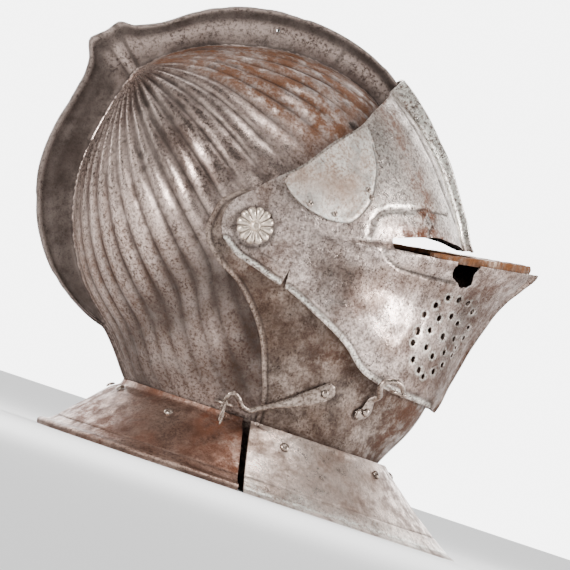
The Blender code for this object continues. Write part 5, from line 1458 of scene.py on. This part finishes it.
def main():
    looks = make_materials()
    bodies = frame["record"]["behaviour"]["bodies"]
    slots = {part["node"]: part["material_slot"] for part in frame["record"]["subparts"]}
    body_of = {node: body for body, nodes in bodies.items() for node in nodes}

    def keep(piece, node):
        piece.data.materials.clear()
        piece.data.materials.append(looks[slots[node]])
        piece.data.materials.append(looks["inside"])
        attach(piece, body_of[node])
        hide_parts(node)

    keep(build_skull(), "skull")
    keep(build_bevor(), "bevor")
    keep(build_visor(), "visor")
    keep(build_neck(True, "neck_plate_rear"), "gorget_rear")
    keep(build_neck(False, "neck_plate_front"), "gorget_front")
    keep(build_ledge(), "sight_ledge")
    keep(build_patch(), "visor_patch")
    keep(build_pivot("rosette_right", -1.0), "pivot_right")
    keep(build_pivot("rosette_left", 1.0), "pivot_left")
    for number, spot in enumerate(PATCH_RIVETS, 1):
        point, normal = surface_spot(visor_half_width, spot, PATCH_GAP + PATCH_WALL)
        keep(build_rivet("patch_rivet_head_%d" % number, point, normal, 0.62 * RIVET_RADIUS),
             "patch_rivet_%d" % number)
    for rear, rivets, label in ((True, REAR_RIVETS, "rear"), (False, FRONT_RIVETS, "front")):
        for number, (share, flare) in enumerate(rivets, 1):
            sides = ((-1.0, "right"), (1.0, "left")) if share < 1.0 else ((-1.0, "middle"),)
            for side, word in sides:
                point, normal = neck_spot(rear, share, flare, side)
                tail = "%s_rivet_%s_%d" % (label, word, number)
                keep(build_rivet("neck_" + tail, point, normal, RIVET_RADIUS), "gorget_" + tail)
    for name, table, spot in (("hook_long", LONG_HOOK, LONG_HOOK_RIVET),
                              ("hook_front", FRONT_HOOK, FRONT_HOOK_RIVET)):
        keep(build_hook(name + "_lever", table, spot), name)
        keep(build_hook_pin(name + "_pin", table, spot), name + "_rivet")
    for name, table, spot, under, slope in (
            ("hook_staple", LONG_HOOK, LONG_STAPLE, bowl_half_width, 0.1),
            ("visor_staple", FRONT_HOOK, FRONT_STAPLE, visor_half_width, 1.3)):
        eye, _ = surface_spot(bevor_half_width, spot, table[-1][2] * MM)
        distance = polar(eye.x - PIVOT_FORWARD, eye.z - PIVOT_HEIGHT)
        foot = -float(under(*distance)) - PART_GAP - slope * STAPLE_WIRE_RADIUS
        keep(build_staple(name + "_ring", eye, foot), name)
        if name == "hook_staple":
            hang = eye + Vector((0.0, -STAPLE_RADIUS, 0.0))
            keep(build_hanging_pin("hanging_pin_wire", hang, HANGING_PIN_LENGTH), "hanging_pin")


def make_studio():
    """Pale floor and soft light, bright behind the helmet and dark on the camera's side."""
    mesh = bpy.data.meshes.new("floor")
    corners = [(x * FLOOR_REACH, y * FLOOR_REACH, 0.0) for x, y in ((-1, -1), (1, -1), (1, 1), (-1, 1))]
    mesh.from_pydata(corners, [], [(0, 1, 2, 3)])
    floor = link("floor", mesh)
    look = bpy.data.materials.new("floor_pale")
    look.use_nodes = True
    shader = look.node_tree.nodes["Principled BSDF"]
    shader.inputs["Base Color"].default_value = FLOOR_TONE
    shader.inputs["Roughness"].default_value = FLOOR_ROUGHNESS
    mesh.materials.append(look)
    world = bpy.data.worlds.new("studio")
    world.use_nodes = True
    tree = world.node_tree
    where = tree.nodes.new("ShaderNodeTexCoord")
    parts = tree.nodes.new("ShaderNodeSeparateXYZ")
    tree.links.new(where.outputs["Generated"], parts.inputs[0])
    shade = tree.nodes.new("ShaderNodeMapRange")
    shade.interpolation_type = "SMOOTHSTEP"
    for key, value in WORLD_SHADE.items():
        shade.inputs[key].default_value = value
    tree.links.new(parts.outputs["Y"], shade.inputs["Value"])
    tree.links.new(shade.outputs["Result"], tree.nodes["Background"].inputs["Strength"])
    tree.nodes["Background"].inputs["Color"].default_value = WORLD_TONE
    bpy.context.scene.world = world
    for name, spot, size, power in LAMPS:
        light = bpy.data.lights.new(name, "AREA")
        light.size = size
        light.energy = power
        lamp = bpy.data.objects.new(name, light)
        bpy.context.scene.collection.objects.link(lamp)
        lamp.location = spot
        lamp.rotation_mode = "QUATERNION"
        lamp.rotation_quaternion = (Vector(TARGET) - Vector(spot)).to_track_quat("-Z", "Y")


def make_camera():
    tilted_x = Vector((math.cos(ROLL), 0.0, math.sin(ROLL)))
    tilted_z = Vector((-math.sin(ROLL), 0.0, math.cos(ROLL)))
    across = Vector((0.0, 1.0, 0.0))
    right = tilted_x * math.cos(YAW) - across * math.sin(YAW)
    up = (tilted_x * math.sin(YAW) + across * math.cos(YAW)) * math.sin(RISE) + tilted_z * math.cos(RISE)
    back = right.cross(up)
    data = bpy.data.cameras.new("camera")
    data.sensor_width = SENSOR_WIDTH
    data.lens = SENSOR_WIDTH * CAMERA_DISTANCE / PICTURE_WIDTH
    data.clip_end = CLIP_END
    camera = bpy.data.objects.new("camera", data)
    bpy.context.scene.collection.objects.link(camera)
    turn = Matrix((right, up, back)).transposed().to_4x4()
    camera.matrix_world = Matrix.Translation(Vector(TARGET) + back * CAMERA_DISTANCE) @ turn
    bpy.context.scene.camera = camera


make_camera()
main()
make_studio()
